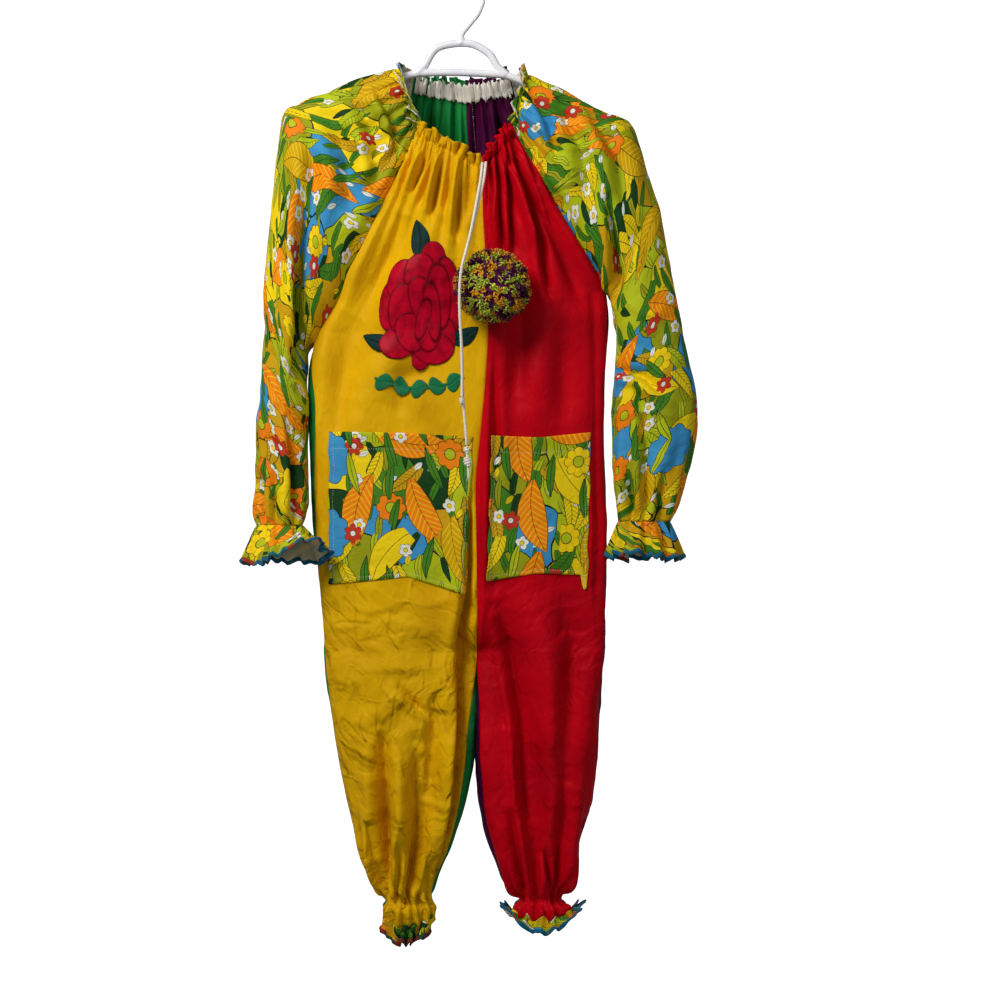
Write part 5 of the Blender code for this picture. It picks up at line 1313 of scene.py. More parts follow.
ruffles = {
    "wrist_ruffle_left": dict(middle=(-240.0, -52.0), half=(56.0, 32.0), drop=49.0, wave=5.0,
                              lifts=((50, 22.0),), turned=1.4, narrow=2.4,
                              flat=(0.42, 0.042), area=0.0175, edge="tealEdge"),
    "wrist_ruffle_right": dict(middle=(258.0, -16.0), half=(49.0, 31.0), drop=48.0, wave=5.0,
                               lifts=((60, 8.0),), flat=(0.42, 0.042), area=0.0175, edge="tealEdge"),
    "ankle_ruffle_left": dict(middle=(-75.5, 0.0), half=(31.0, 33.0), drop=25.0, wave=4.0,
                              lifts=((20, 8.0), (180, 13.0)), scallops=9, deep=4.4,
                              flat=(0.30, 0.030), area=0.0090, edge="redEdge"),
    "ankle_ruffle_right": dict(middle=(116.0, 0.0), half=(56.0, 43.0), drop=19.0, wave=2.0,
                               lifts=((0, 28.0), (180, 30.0)), narrow=1.5, scallops=9, deep=4.0,
                               flat=(0.30, 0.030), area=0.0090, edge="tealEdge"),
}

def bindingFinish(name, *tones):
    # bias binding in whatever was to hand: the colour changes along it
    paint = Paint(name, Specular_IOR_Level=0.15)
    uv = paint.uv()
    along = paint.node("SeparateXYZ", None, {0: uv})["X"]
    colour = paint.tones(paint.grain(uv, 0.035, 1.0).between(0.3, 0.7), *tones, step="LINEAR")
    rib = (along * (2 * math.pi / 0.0016)).sin()
    colour = paint.mix(rib * 0.12 + 0.12, colour, rgb(12, 40, 46))
    paint.raise_by(rib, 0.00012, 0.6)
    addWeave(paint, uv)
    return paint.done(colour, 0.6 + rib * 0.05)


teal, blue, rust = rgb(30, 118, 132), rgb(22, 96, 140), rgb(168, 62, 36)
finishes["tealEdge"] = bindingFinish("teal_binding", (0.0, teal), (0.45, blue), (0.78, teal), (0.9, rust))
finishes["redEdge"] = bindingFinish("rust_binding", (0.0, rust), (0.4, rgb(150, 40, 40)), (0.7, rgb(40, 78, 60)))


def ring(name, points, down, across, tall, thick, finish):
    # a soft band swept round a closed edge
    turns = np.linspace(0, 2 * math.pi, 11)
    centre = points + down * tall * 0.75
    grid = np.stack([centre + down * tall * math.cos(a) + across * thick * math.sin(a) for a in turns])
    rows, columns = grid.shape[:2]
    index = np.arange((rows - 1) * columns).reshape(rows - 1, columns)
    faces = [(index[i, j], index[i, j + 1], index[(i + 1) % (rows - 1), j + 1], index[(i + 1) % (rows - 1), j])
             for i in range(rows - 1) for j in range(columns - 1)]
    faces = [tuple(int(corner) for corner in face) for face in faces]
    made = newObject(name, grid[:-1].reshape(-1, 3), faces, finishes[finish])
    mesh = made.data
    run = runAlong(centre) * mm
    uv = mesh.uv_layers.new(name="UVMap")
    for face in mesh.polygons:
        for corner, loop in enumerate(face.loop_indices):
            v = mesh.loops[loop].vertex_index
            uv.data[loop].uv = (run[v % columns], (face.index // (columns - 1) + (corner in (2, 3))) * 0.0016)
    faceOutward(mesh, merge=0.00002)
    return made


def ruffle(name, edge, normals, angles, columns, onLeft, seed):
    style = ruffles[name]
    x, y = style["middle"]
    halfX, halfY = style["half"]
    outward = np.stack((np.cos(angles) * (1 if onLeft else -1), -np.sin(angles), 0 * angles), -1)
    rim = np.array((x, y, 0)) + outward * np.array((halfX, halfY, 0))
    column = np.arange(columns + 1)
    wave = np.where(column % 2, -1.0, 1.0) * (1 + 0.3 * np.sin(2.3 * column))
    wave[-1] = wave[0]
    turn = np.linspace(0, 1, len(edge))
    wave = readColumn(wave, turn * columns)
    circle = np.stack((np.cos(2 * math.pi * turn), np.sin(2 * math.pi * turn)), -1)[None] * 100
    loose = swell(circle, 62, seed, 7)[0] * 2.6 + swell(circle, 34, seed + 1, 5)[0] * 1.2
    swing = style.get("scallops", 21) * turn + 0.4 * np.sin(6 * math.pi * turn)
    scallop = style.get("deep", 2.6) * np.sin(2 * math.pi * swing)
    scallop = scallop * (1 + 0.5 * swell(circle, 40, seed + 2, 5)[0])
    narrow = style.get("narrow", 3)
    turnedUp = style.get("turned", 1.0) * sum(
        height * np.maximum(np.cos(angles - math.radians(at)), 0) ** narrow for at, height in style["lifts"])
    rows = []
    for share in np.linspace(0.001, 1, 17):
        spread = share ** 0.8
        level = edge[:, 2].mean() - style["drop"] + turnedUp * max(0, (share - 0.35) / 0.65) / share
        row = lerp(edge, rim, spread)
        full = style["wave"] * share * wave + loose * share ** 1.2 + scallop * share ** 0.7
        row[:, 2] = lerp(edge[:, 2], level, share) + 0.35 * full + 0.5 * scallop * share ** 2
        row = row + outward * full[:, None]
        rows.append(row)
    grid = np.stack(rows)
    lean = gridNormals(grid, closed=True)
    lean[0] = normals
    grid[:, 0] = grid[:, -1] = (grid[:, 0] + grid[:, -1]) / 2
    lean[:, 0] = lean[:, -1] = unit(lean[:, 0] + lean[:, -1])
    places = clothPlaces(grid) + np.array((5000 + 300 * seed, 0))
    made = shell(pieceName(name, "cloth"), grid, lean, places, 0.9, "print", "printBack", closed=True)
    settle(made, "print", name)
    down = unit(grid[-1] - grid[-2])
    bindingName = name.replace("ruffle", "binding")
    bound = ring(pieceName(bindingName, "band"), grid[-1], down, lean[-1], 3.3, 1.6, style["edge"])
    settle(bound, "teal", bindingName)
    side = name.split("_")[-1]
    sheets[name] = dict(flat=style["flat"], area=style["area"], held="gathered", with_pieces=[bound],
                        rests_on=[("sleeve_" if "wrist" in name else "front_") + side])
    panels[name] = {"object": made}


for seed, side in enumerate(("left", "right")):
    onLeft = side == "left"
    sleeve, front, back = (panels[f"{kind}_{side}"] for kind in ("sleeve", "front", "back"))
    s = sleeve["u"]
    ruffle(f"wrist_ruffle_{side}", sleeve["grid"][-1], sleeve["normals"][-1], 2 * math.pi * s, 20, onLeft,
           3 + seed)
    edge = np.concatenate((front["grid"][-1, :-1], back["grid"][-1]))
    lean = np.concatenate((front["normals"][-1, :-1], back["normals"][-1]))
    turns = np.concatenate((np.linspace(0, math.pi, len(front["u"]))[:-1],
                            np.linspace(math.pi, 2 * math.pi, len(back["u"]))))
    ruffle(f"ankle_ruffle_{side}", edge, lean, math.pi - turns if onLeft else turns, 28, onLeft, 6 + seed)
print("ruffles made")


# the gathered strip inside the back neck
finishes["thread"] = cotton("pale_thread", rgb(240, 232, 210), rgb(214, 204, 176), rgb(250, 246, 234))
right, left = panels["back_right"], panels["back_left"]
low = left["top"] + int(np.searchsorted(left["rows"], 0.42))
inner = np.concatenate((right["grid"][3:low, 1:], left["grid"][3:low, 1:-1]), axis=1)
lean = np.concatenate((right["normals"][3:low, 1:], left["normals"][3:low, 1:-1]), axis=1)
turn = np.linspace(0, 1, inner.shape[1])
share = np.linspace(0, 1, len(inner))[:, None]
# it keeps the back's gathers, and passes inside the casing where the elastic draws the back in
near = [(down, across) for down in range(-3, 4) for across in range(-4, 5)]


def shifted(field, down, across):
    rows = np.clip(np.arange(len(field)) + down, 0, len(field) - 1)
    columns = np.clip(np.arange(field.shape[1]) + across, 0, field.shape[1] - 1)
    return field[rows][:, columns]


base = np.mean([shifted(inner, *step) for step in near], axis=0)
lean = unit(np.mean([shifted(lean, *step) for step in near], axis=0))
height = ((inner - base) * lean).sum(axis=-1)
lowest = np.min([shifted(height, down, 0) for down in range(-3, 4)], axis=0)
lowest = np.mean([shifted(lowest, down, 0) for down in range(-1, 2)], axis=0)
inner = inner + lean * (lowest - height)[..., None]
edgeWave = 3.0 * swell(turn, 0.07, 90, 4) + 1.4 * swell(turn, 0.024, 91, 4)
up = unit(inner[0] - inner[3])
inner = inner + up * (edgeWave * (1 - share) ** 2 - (2.0 + edgeWave * 0.8) * share ** 3)[..., None]
pleat = 0.8 * np.abs(np.sin(math.pi * 42 * (turn + 0.01 * swell(turn, 0.12, 92)))) - 0.4
inner = inner - lean * (2.6 + (pleat + 0.5 * swell(turn, 0.06, 93)) * (0.3 + share))[..., None]
seam = right["grid"][right["top"] + 2:right["top"] + 46, -7]
seamLean = -right["normals"][right["top"] + 2:right["top"] + 46, -7]
facing = shell("neck.facing.cloth", inner, gridNormals(inner), clothPlaces(inner), 0.8, "cream")
settle(facing, "cream", "neck_facing")
sheets["neck_facing"] = dict(flat=(0.30, 0.040), area=0.0112, held="gathered", rests_on=["back_left"])
panels["neck_facing"] = {"object": facing}


class Ground:
    # the outside of a front, as a map of how far forward it is at each x, z
    def __init__(self, grid, step=3.0):
        rows, columns = grid.shape[:2]
        index = np.arange(rows * columns).reshape(rows, columns)
        faces = np.stack((index[:-1, :-1], index[1:, :-1], index[1:, 1:], index[:-1, 1:]), -1).reshape(-1, 4)
        tree = BVHTree.FromPolygons(grid.reshape(-1, 3).tolist(), faces.tolist())
        self.x = np.arange(grid[..., 0].min(), grid[..., 0].max(), step)
        self.z = np.arange(grid[..., 2].min(), grid[..., 2].max(), step)
        self.step = step
        self.y = np.full((len(self.z), len(self.x)), 0.0)
        for i, z in enumerate(self.z):
            for j, x in enumerate(self.x):
                hit = tree.ray_cast(Vector((x, -400, z)), Vector((0, 1, 0)))
                self.y[i, j] = hit[0].y if hit[0] else 999.0

    def forward(self, reach):
        # the furthest forward within reach of each place
        y = self.y
        for n in range(max(1, round(reach / self.step))):
            y = np.minimum.reduce(windows(y))
        return y

    def read(self, x, z, y):
        i = np.clip((z - self.z[0]) / self.step, 0, len(self.z) - 1.001)
        j = np.clip((x - self.x[0]) / self.step, 0, len(self.x) - 1.001)
        a, b = i.astype(int), j.astype(int)
        s, t = i - a, j - b
        return lerp(lerp(y[a, b], y[a, b + 1], t), lerp(y[a + 1, b], y[a + 1, b + 1], t), s)


grounds = {name: Ground(panels[name]["grid"]) for name in ("front_left", "front_right")}
print("fronts mapped")


def blurred(y, times=1):
    for n in range(times):
        y = sum(windows(y)) / 9
    return y


stitchRuns = []


def stitchRun(points, lean, length=2.3, gap=1.1, thick=0.34):
    # a row of short threads lying on the cloth along a line of points
    run = runAlong(points)
    count = int(run[-1] / (length + gap))
    for n in range(count):
        start = n * (length + gap) + 0.4 * math.sin(2.1 * n)
        at = np.stack([np.interp((start, start + length / 2, start + length), run, points[:, axis])
                       for axis in range(3)], -1)
        out = unit(np.array([np.interp(start, run, lean[:, axis]) for axis in range(3)]))
        along = unit(at[2] - at[0])
        side = np.cross(along, out)
        middle = at[1] + out * thick
        stitchRuns.append((at[0], middle + side * thick, middle + out * thick, middle - side * thick,
                           middle - out * thick, at[2]))


# patch pockets, laid on the fronts
pockets = {
    "pocket_left": dict(front="front_left", seed=31, flat=(0.206, 0.228), area=0.0425,
                        top=((-180.6, -632.0), (-80.0, -634.5), (19.0, -640.0)),
                        low=((-182.0, -844.0), (-72.0, -833.0), (8.5, -857.0))),
    "pocket_right": dict(front="front_right", seed=37, flat=(0.146, 0.206), area=0.0285,
                         top=((45.0, -638.0), (110.0, -641.0), (182.0, -633.0)),
                         low=((38.0, -839.0), (108.0, -828.0), (177.0, -831.0)), hanging=20.0),
}


def curve3(points, t):
    a, b, c = (np.array(p) for p in points)
    t = t[..., None]
    return lerp(lerp(a, b, np.clip(t * 2, 0, 1)), c, np.clip(t * 2 - 1, 0, 1))


for name, pocket in pockets.items():
    ground = grounds[pocket["front"]]
    u, v = np.linspace(0, 1, 66), np.linspace(0, 1, 72)
    top, low = curve3(pocket["top"], u), curve3(pocket["low"], u)
    xz = lerp(top[None], low[None], v[:, None, None])
    at = xz.copy()
    edge = np.minimum(np.minimum(u, 1 - u)[None, :] * 180, (1 - v)[:, None] * 200)
    xz[..., 0] += 1.2 * swell(at[..., 1] / 55, 1.0, pocket["seed"]) * (1 - smooth(0, 30, edge))
    # a frayed end of the seam hangs off one corner
    hanging = pocket.get("hanging", 0) * smooth(0.945, 0.96, u)[None, :] * v[:, None] ** 9
    xz[..., 1] -= hanging
    lift = blurred(ground.forward(3.0), 2)
    y = ground.read(xz[..., 0], xz[..., 1], lift) - 1.1
    loose = swell(at, 70, pocket["seed"] + 1) * 0.9 + crumple(at, 55, pocket["seed"] + 2) * 0.5
    y = y - (loose + 1.0) * smooth(4, 22, edge) * 0.9
    mouth = np.exp(-((v[:, None] * 205) / 16) ** 2) * np.sin(math.pi * u)[None, :]
    y = y - mouth * 3.0
    hem = np.exp(-((edge - 6.5) / 1.4) ** 2) * 0.5 + np.exp(-((v[:, None] * 205 - 22) / 1.5) ** 2) * 0.45
    y = y + hem
    grid = np.stack((xz[..., 0], y, xz[..., 1]), -1)
    lean = gridNormals(grid)
    places = clothPlaces(grid) + np.array((137 * pocket["seed"], 61 * pocket["seed"]))
    made = shell(pieceName(name, "cloth"), grid, lean, places, 0.9, "print")
    settle(made, "print", name)
    sheets[name] = dict(flat=pocket["flat"], area=pocket["area"], held="hung", rests_on=[pocket["front"]])
    panels[name] = {"object": made}
    skin = grid + lean * 0.45
    outline = np.concatenate((skin[:, 2], skin[-3, 2:-2], skin[::-1, -3]))
    leans = np.concatenate((lean[:, 2], lean[-3, 2:-2], lean[::-1, -3]))
    stitchRun(outline, leans)
    stitchRun(skin[8, 2:-2], lean[8, 2:-2])
stitchRun(seam + seamLean * 0.5, seamLean)
print("pockets made")


# the rose: overlapping padded petals on one backing, each with a darker worked edge, and a painted shadow just
# outside that edge on the petals below
rose = {
    # middle x and z, half width, half length, tilt in degrees, how far forward the petal starts
    "petals": (
        (-34, -399, 16, 28, -8, 0.0), (-14, -446, 15, 54, -6, 0.0), (-94, -458, 17, 36, 12, 0.1),
        (-77, -424, 22, 29, 30, 0.3), (-19, -503, 14, 27, -4, 0.2), (-82, -509, 29, 23, -35, 0.4),
        (-38, -517, 30, 23, 25, 0.6), (-54, -538, 12, 11, 0, 0.1), (-56, -421, 20, 33, 10, 1.1),
        (-76, -464, 22, 34, 14, 1.4), (-27, -447, 15, 45, -4, 1.8), (-67, -497, 20, 27, -12, 2.0),
        (-50, -456, 17, 36, -14, 2.4), (-41, -501, 15, 22, 10, 2.8), (-37, -468, 11, 41, -6, 3.3),
        (-50, -479, 9, 29, 14, 3.7),
    ),
    "middle": (-52, -464), "crown": 0.5, "layer": 0.55, "rim": 1.4, "seam": 0.95,
}


def roseHeight(x, z):
    # the height of the uppermost petal at each place, and how dark it is: near a worked edge, and in the painted
    # shadow just outside a higher petal's edge
    best, worked = np.full(x.shape, -1.0), np.zeros(x.shape)
    for px, pz, halfWidth, halfLength, tilt, base in sorted(rose["petals"], key=lambda petal: petal[5]):
        a = math.radians(tilt)
        across = ((x - px) * math.cos(a) - (z - pz) * math.sin(a)) / halfWidth
        along = ((x - px) * math.sin(a) + (z - pz) * math.cos(a)) / halfLength
        bulge = 1 + 0.16 * along
        far = (np.abs(across / bulge) ** 2.2 + np.abs(along) ** 2.2) ** (1 / 2.2)
        inside = (1 - far) * (halfWidth + min(halfWidth, halfLength)) / 2
        dome = np.sqrt(np.clip(1 - far ** 2, 0, 1))
        pleat = 0.3 * np.sin(across * 5 + along * 2) * dome
        height = 1.5 + base * rose["layer"] + rose["crown"] * dome + pleat - 0.4 * across
        # painted shadow: a band just outside this petal's edge darkens whatever lies below it
        beside = 0.8 * np.exp(-(inside / rose["seam"]) ** 2)
        worked = np.where(inside > 0, np.exp(-(inside / rose["seam"]) ** 2), np.maximum(worked, beside))
        best = np.where(inside > 0, np.maximum(height, best * 0.6), best)
    return best, worked


def roseEdge(angles):
    # the furthest petal from the rose's middle in each direction
    reach = np.zeros(len(angles))
    for distance in np.arange(20, 110, 0.5):
        x = rose["middle"][0] + np.cos(angles) * distance
        z = rose["middle"][1] + np.sin(angles) * distance
        reach = np.where(roseHeight(x, z)[0] > 0, distance, reach)
    return reach


def tinted(made, name, values):
    # a value for each point of a piece, for its material to read
    layer = made.data.attributes.new(name, "FLOAT", "POINT")
    layer.data.foreach_set("value", np.asarray(values, np.float32))


def reliefPlate(name, grid, rise, worked, finish, node):
    # a padded shape on the front: a raised face, and a back that follows the cloth
    # rows run from rim to middle
    x, z = grid[..., 0], grid[..., 1]
    ground = grounds["front_left"]
    back = ground.read(x, z, blurred(ground.forward(6.0), 3)) - 0.6
    top = np.stack((x, back - rise, z), -1)
    under = np.stack((x, back, z), -1)[sorted({*range(0, len(x), 6), len(x) - 1}, reverse=True)]
    points = np.concatenate((under, top))
    rows, columns = points.shape[:2]
    index = np.arange(rows * columns).reshape(rows, columns)
    faces = []
    for i in range(rows - 1):
        for j in range(columns):
            k = (j + 1) % columns
            faces.append((index[i, j], index[i, k], index[i + 1, k], index[i + 1, j]))
    faces.append(tuple(index[-1]))
    faces.append(tuple(index[0, ::-1]))
    faces = [tuple(int(corner) for corner in face) for face in faces]
    points = points.reshape(-1, 3)
    made = newObject(name, points, faces, finishes[finish], points[:, (0, 2)])
    tinted(made, "worked", np.concatenate((np.ones(under[..., 0].size), np.asarray(worked).reshape(-1))))
    faceOutward(made.data)
    settle(made, finish, node)


def appliqueFinish(name, face, deep, edge, rough=0.7):
    # satin, darker along the worked edges and in the painted shadows beside them, with a run of threads
    paint = Paint(name, Specular_IOR_Level=0.06)
    uv = paint.uv()
    worked = paint.node("Attribute", {"attribute_name": "worked"})["Fac"]
    cloud = paint.grain(uv, 0.016, 4.0, 0.6)
    nap = paint.grain(paint.shift("MULTIPLY", uv, (1.0, 0.3, 1.0)), 0.0016, 2.0)
    colour = paint.mix(cloud.between(0.32, 0.72), face, deep)
    colour = paint.mix(nap * 0.2, colour, deep)
    colour = paint.mix(worked * 0.92, colour, edge)
    paint.raise_by(cloud, 0.0012, 0.4)
    paint.raise_by(nap, 0.00025, 0.5)
    return paint.done(colour, rough + (nap - 0.5) * 0.3)


finishes["rose"] = appliqueFinish(
    "rose_satin", (0.60, 0.001, 0.022), (0.30, 0.0006, 0.012), (0.05, 0.0002, 0.003), 0.42)
finishes["leaf"] = appliqueFinish(
    "leaf_satin", (0.006, 0.042, 0.034), (0.004, 0.024, 0.020), (0.001, 0.008, 0.007), 0.5)

angles = np.linspace(0, 2 * math.pi, 320, endpoint=False)
reach = roseEdge(angles)
reach = (reach + np.roll(reach, 1) + np.roll(reach, -1)) / 3
shares = 1 - np.linspace(0, 1, 74) ** 1.1 * 0.985
radius = reach[None, :] * shares[:, None]
x = rose["middle"][0] + np.cos(angles) * radius
z = rose["middle"][1] + np.sin(angles) * radius
rise, worked = roseHeight(x, z)
inward = (reach[None, :] - radius)
rise = np.maximum(rise, 0.8) * smooth(-1.2, rose["rim"], inward) + 0.2
worked = np.maximum(worked, np.exp(-(inward / 1.4) ** 2))
reliefPlate("rose.flower.felt", np.stack((x, z), -1), rise, worked, "rose", "rose_flower")

roseLeaves = {
    # base, tip, half width, bend of the middle line
    "rose_leaf_top": dict(base=(-56.0, -394.0), tip=(-59.0, -341.0), width=13.0, bend=-4.0),
    "rose_leaf_left": dict(base=(-88.0, -510.0), tip=(-134.0, -499.0), width=12.0, bend=5.0),
    "rose_leaf_right": dict(base=(-14.0, -508.0), tip=(26.5, -489.0), width=12.0, bend=-4.0),
}


def leafPlate(node, leaf, thick=0.6, square=0.75):
    # rings that follow a leaf's outline down to its middle line
    base, tip = np.array(leaf["base"]), np.array(leaf["tip"])
    line = tip - base
    side = np.array((-line[1], line[0])) / np.linalg.norm(line)
    t = np.concatenate((np.linspace(0, 1, 40, endpoint=False), np.linspace(1, 0, 40, endpoint=False)))
    sign = np.concatenate((-np.ones(40), np.ones(40)))
    width = leaf["width"] * np.sin(math.pi * np.clip(t, 0, 1) ** 0.8) ** square
    grid, rise, worked = [], [], []
    for ringShare in np.linspace(0, 0.96, 14):
        inner = 1 - ringShare
        tt = lerp(0.5, t, 1 - ringShare * 0.25)
        middle = base + line * tt[:, None] + side * (leaf["bend"] * np.sin(math.pi * tt))[:, None]
        grid.append(middle + side * (sign * width * inner)[:, None])
        groove = 0.55 * math.exp(-(inner / 0.12) ** 2)
        rise.append(np.full(80, 0.5 + thick * (1 - inner ** 2.2) ** 0.6 - groove))
        worked.append(np.full(80, max(math.exp(-(ringShare / 0.10) ** 2), math.exp(-(inner / 0.10) ** 2))))
    reliefPlate(pieceName(node, "felt"), np.stack(grid), np.stack(rise), np.stack(worked), "leaf", node)


for name, leaf in roseLeaves.items():
    leafPlate(name, leaf)
print("rose made")


# a satin-stitched garland of leaves in an arc under the rose
garland = dict(x=-56.0, z=-440.0, radius=133.0, first=244.0, last=297.0, leaves=5, width=12.2, stem=1.7)


def satinFinish(name, face, deep):
    # rows of thread laid side by side across each leaf, with painted shade in the grooves between the rows
    paint = Paint(name, Specular_IOR_Level=0.22)
    split = paint.node("SeparateXYZ", None, {0: paint.uv()})
    wander = paint.grain(paint.uv(), 0.004, 1.0)
    laid = ((split["X"] + split["Y"].size() * 0.55) * (2 * math.pi / 0.0013) + wander * 1.6).sin()
    worked = paint.node("Attribute", {"attribute_name": "worked"})["Fac"]
    # painted shade: dark in the grooves between the laid threads, light on their raised tops
    colour = paint.mix(laid * 0.5 + 0.5, deep, face)
    colour = paint.mix(worked * 0.35, colour, deep)
    paint.raise_by(laid, 0.0003, 0.8)
    return paint.done(colour, 0.42 + laid * 0.08)


finishes["stitch"] = satinFinish("green_satin_stitch", (0.020, 0.30, 0.115), (0.006, 0.13, 0.045))
ground = grounds["front_left"]
lift = blurred(ground.forward(6.0), 3)
pieces = []
for n in range(garland["leaves"]):
    a0, a1 = (math.radians(lerp(garland["first"], garland["last"], (n + end) / garland["leaves"]))
              for end in (0.02, 0.98))
    t = np.linspace(0, 1, 40)
    width = garland["width"] * np.sin(math.pi * t ** 0.72) ** 0.85 + 0.25
    across = np.linspace(1, -1, 21)
    lean = (1 if n % 2 else -1) * 3.2 * np.sin(math.pi * (t - 0.5))
    radius = garland["radius"] + across[None, :] * width[:, None] + lean[:, None]
    angle = (a0 + (a1 - a0) * t)[:, None]
    x = garland["x"] + radius * np.cos(angle)
    z = garland["z"] + radius * np.sin(angle)
    dome = (1 - np.abs(across[None, :]) ** 3) ** 0.5 * smooth(0, 3, np.minimum(t, 1 - t)[:, None] * 30)
    groove = 0.9 * np.exp(-(across[None, :] * width[:, None] / 1.0) ** 2)
    y = ground.read(x, z, lift) - 0.4 - 1.5 * dome + groove * dome
    grid = np.stack((x, y, z), -1)
    pieces.append(shell(f"leaf.garland.{n}", grid, gridNormals(grid), np.stack(
        (t[:, None] * 25 + 40 * n + 0 * x, across[None, :] * width[:, None]), -1), 0.5, "stitch"))
t = np.linspace(0, 1, 120)
angle = np.radians(lerp(garland["first"] - 1, garland["last"] + 1, t))
across = np.linspace(1, -1, 7)
radius = garland["radius"] + across[None, :] * garland["stem"] + 0 * t[:, None]
x, z = garland["x"] + radius * np.cos(angle)[:, None], garland["z"] + radius * np.sin(angle)[:, None]
y = ground.read(x, z, lift) - 0.5 - 1.0 * np.sqrt(1 - across[None, :] ** 2)
grid = np.stack((x, y, z), -1)
pieces.append(shell("leaf.garland.stem", grid, gridNormals(grid), np.stack(
    (t[:, None] * 130 + 0 * x, across[None, :] * garland["stem"] + 0 * x), -1), 0.5, "stitch"))
for made in pieces:
    tinted(made, "worked", np.zeros(len(made.data.vertices)))
selectOnly(pieces)
bpy.ops.object.join()
bpy.ops.object.mode_set(mode="EDIT")
bpy.ops.mesh.select_all(action="SELECT")
bpy.ops.mesh.normals_make_consistent(inside=False)
bpy.ops.object.mode_set(mode="OBJECT")
pieces[0].name = "leaf.garland.satin"
settle(pieces[0], "stitch", "leaf_garland")
print("garland made")


# the pompom: a core of yarn under 360 ends, each of four plies
pompom = dict(ends=360, plies=4, ply=1.85, core=0.74, steps=4)
lowBox, highBox = (np.array(corner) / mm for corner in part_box("pompom"))
middle, half = (lowBox + highBox) / 2, (highBox - lowBox) / 2


def yarnFinish(name, face, deep):
    paint = Paint(name, Sheen_Weight=0.1, Sheen_Roughness=0.6, Specular_IOR_Level=0.08)
    at = paint.place()
    fluff = paint.grain(at, 0.0016, 3.0, 0.7)
    cloud = paint.grain(at, 0.012, 2.0)
    colour = paint.mix(fluff.between(0.3, 0.7), deep, face)
    colour = paint.mix(cloud * 0.3, colour, deep)
    paint.raise_by(fluff, 0.0006, 0.8)
    return paint.done(colour, 0.85 + fluff * 0.1)


yarns = [yarnFinish("plum_yarn", (0.17, 0.005, 0.10), (0.08, 0.003, 0.045)),
         yarnFinish("mustard_yarn", (1.0, 0.58, 0.010), (0.95, 0.38, 0.006)),
         yarnFinish("lime_yarn", (0.78, 0.88, 0.08), (0.46, 0.56, 0.03))]
chances = np.random.default_rng(5)
points, faces, which = [], [], []
golden = math.pi * (3 - math.sqrt(5))
for n in range(pompom["ends"]):
    y = 1 - 1.72 * (n + 0.5) / pompom["ends"]
    flatRadius = math.sqrt(max(0, 1 - y * y))
    out = np.array((math.cos(golden * n) * flatRadius, -y, math.sin(golden * n) * flatRadius))
    out = unit(out + chances.normal(0, 0.035, 3))
    patch = math.sin(7.1 * out[0] + 1.3) + math.sin(8.3 * out[2] + 0.7) + math.sin(5.7 * out[1] + 6.4 * out[0])
    colour = int((patch * 0.9 + chances.uniform(0, 1.5)) % 3)
    side = unit(np.cross(out, chances.normal(0, 1, 3)))
    other = np.cross(out, side)
    bend = chances.uniform(-0.5, 0.5, 2)
    long = chances.uniform(0.90, 1.01)
    phase = chances.uniform(0, 6.28)
    for ply in range(pompom["plies"]):
        base = len(points)
        steps = pompom["steps"]
        for step in range(steps):
            t = step / (steps - 1)
            far = pompom["core"] + (long - pompom["core"]) * t
            a = phase + ply * 2 * math.pi / pompom["plies"] + t * 3.4
            splay = pompom["ply"] * (0.7 + 1.5 * t * t)
            centre = out * far * half
            centre = centre + (side * bend[0] + other * bend[1]) * 9 * t * t
            centre = centre + (side * math.cos(a) + other * math.sin(a)) * splay
            thick = pompom["ply"] * (1.05 - 0.45 * t)
            for k in range(3):
                b = 2 * math.pi * k / 3 + a
                points.append(middle + centre + (side * math.cos(b) + other * math.sin(b)) * thick)
        for step in range(steps - 1):
            for k in range(3):
                p, q = base + step * 3 + k, base + step * 3 + (k + 1) % 3
                faces.append((p, q, q + 3, p + 3))
                which.append(colour)
        top = base + (steps - 1) * 3
        faces.append((top, top + 1, top + 2))
        which.append(colour)
points = np.clip(np.array(points), lowBox - 2.5, highBox + np.array((2.5, -0.4, 2.5)))
pompomObject = newObject("pompom.yarn", points, faces, yarns[0])
for yarn in yarns[1:]:
    pompomObject.data.materials.append(yarn)
pompomObject.data.polygons.foreach_set("material_index", np.array(which, np.int32))
pompomObject.data.update()
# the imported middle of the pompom, in the darkest yarn
bpy.ops.object.select_all(action="DESELECT")
bpy.ops.mesh.primitive_ico_sphere_add(subdivisions=4, radius=1, location=(0, 0, 0))
core = bpy.context.object
for vertex in core.data.vertices:
    bump = 0.80 + 0.05 * math.sin(19 * vertex.co.x) * math.sin(17 * vertex.co.z + 2)
    vertex.co = Vector(np.clip(middle + np.array(vertex.co) * half * bump, lowBox, highBox - 0.5) * mm)
core.data.materials.append(yarns[0])
selectOnly([pompomObject, core])
bpy.ops.object.join()
settle(pompomObject, "yarn", "pompom")
print("pompom made")


# the hanger: bent tube and wire, run together at the joints

hangerBow = (
    (-228.0, 0, -191.5), (-206.0, 0, -179.5), (-180.6, 0, -168.0), (-154.0, 0, -158.5), (-123.0, 0, -149.0),
    (-85.0, 0, -136.0), (-60.0, 0, -130.0), (-28.0, 0, -128.5), (5.0, 0, -128.8), (40.0, 0, -130.5),
    (66.0, 0, -133.0), (95.0, 0, -144.5), (120.0, 0, -158.5), (147.0, 0, -170.5), (178.0, 0, -186.5),
    (203.0, 0, -200.5), (217.0, 0, -210.0),
)
hangerArch = (
    (-60.0, 0, -130.0), (-51.0, 0, -121.0), (-45.5, 0, -112.7), (-41.0, 0, -104.3), (-32.0, 0, -94.5),
    (-17.0, 0, -89.5), (0.0, 0, -87.5), (15.0, 0, -88.5), (27.0, 0, -93.0), (41.5, 0, -103.0),
    (47.6, 0, -112.7), (53.0, 0, -121.5), (64.0, 0, -132.5),
)
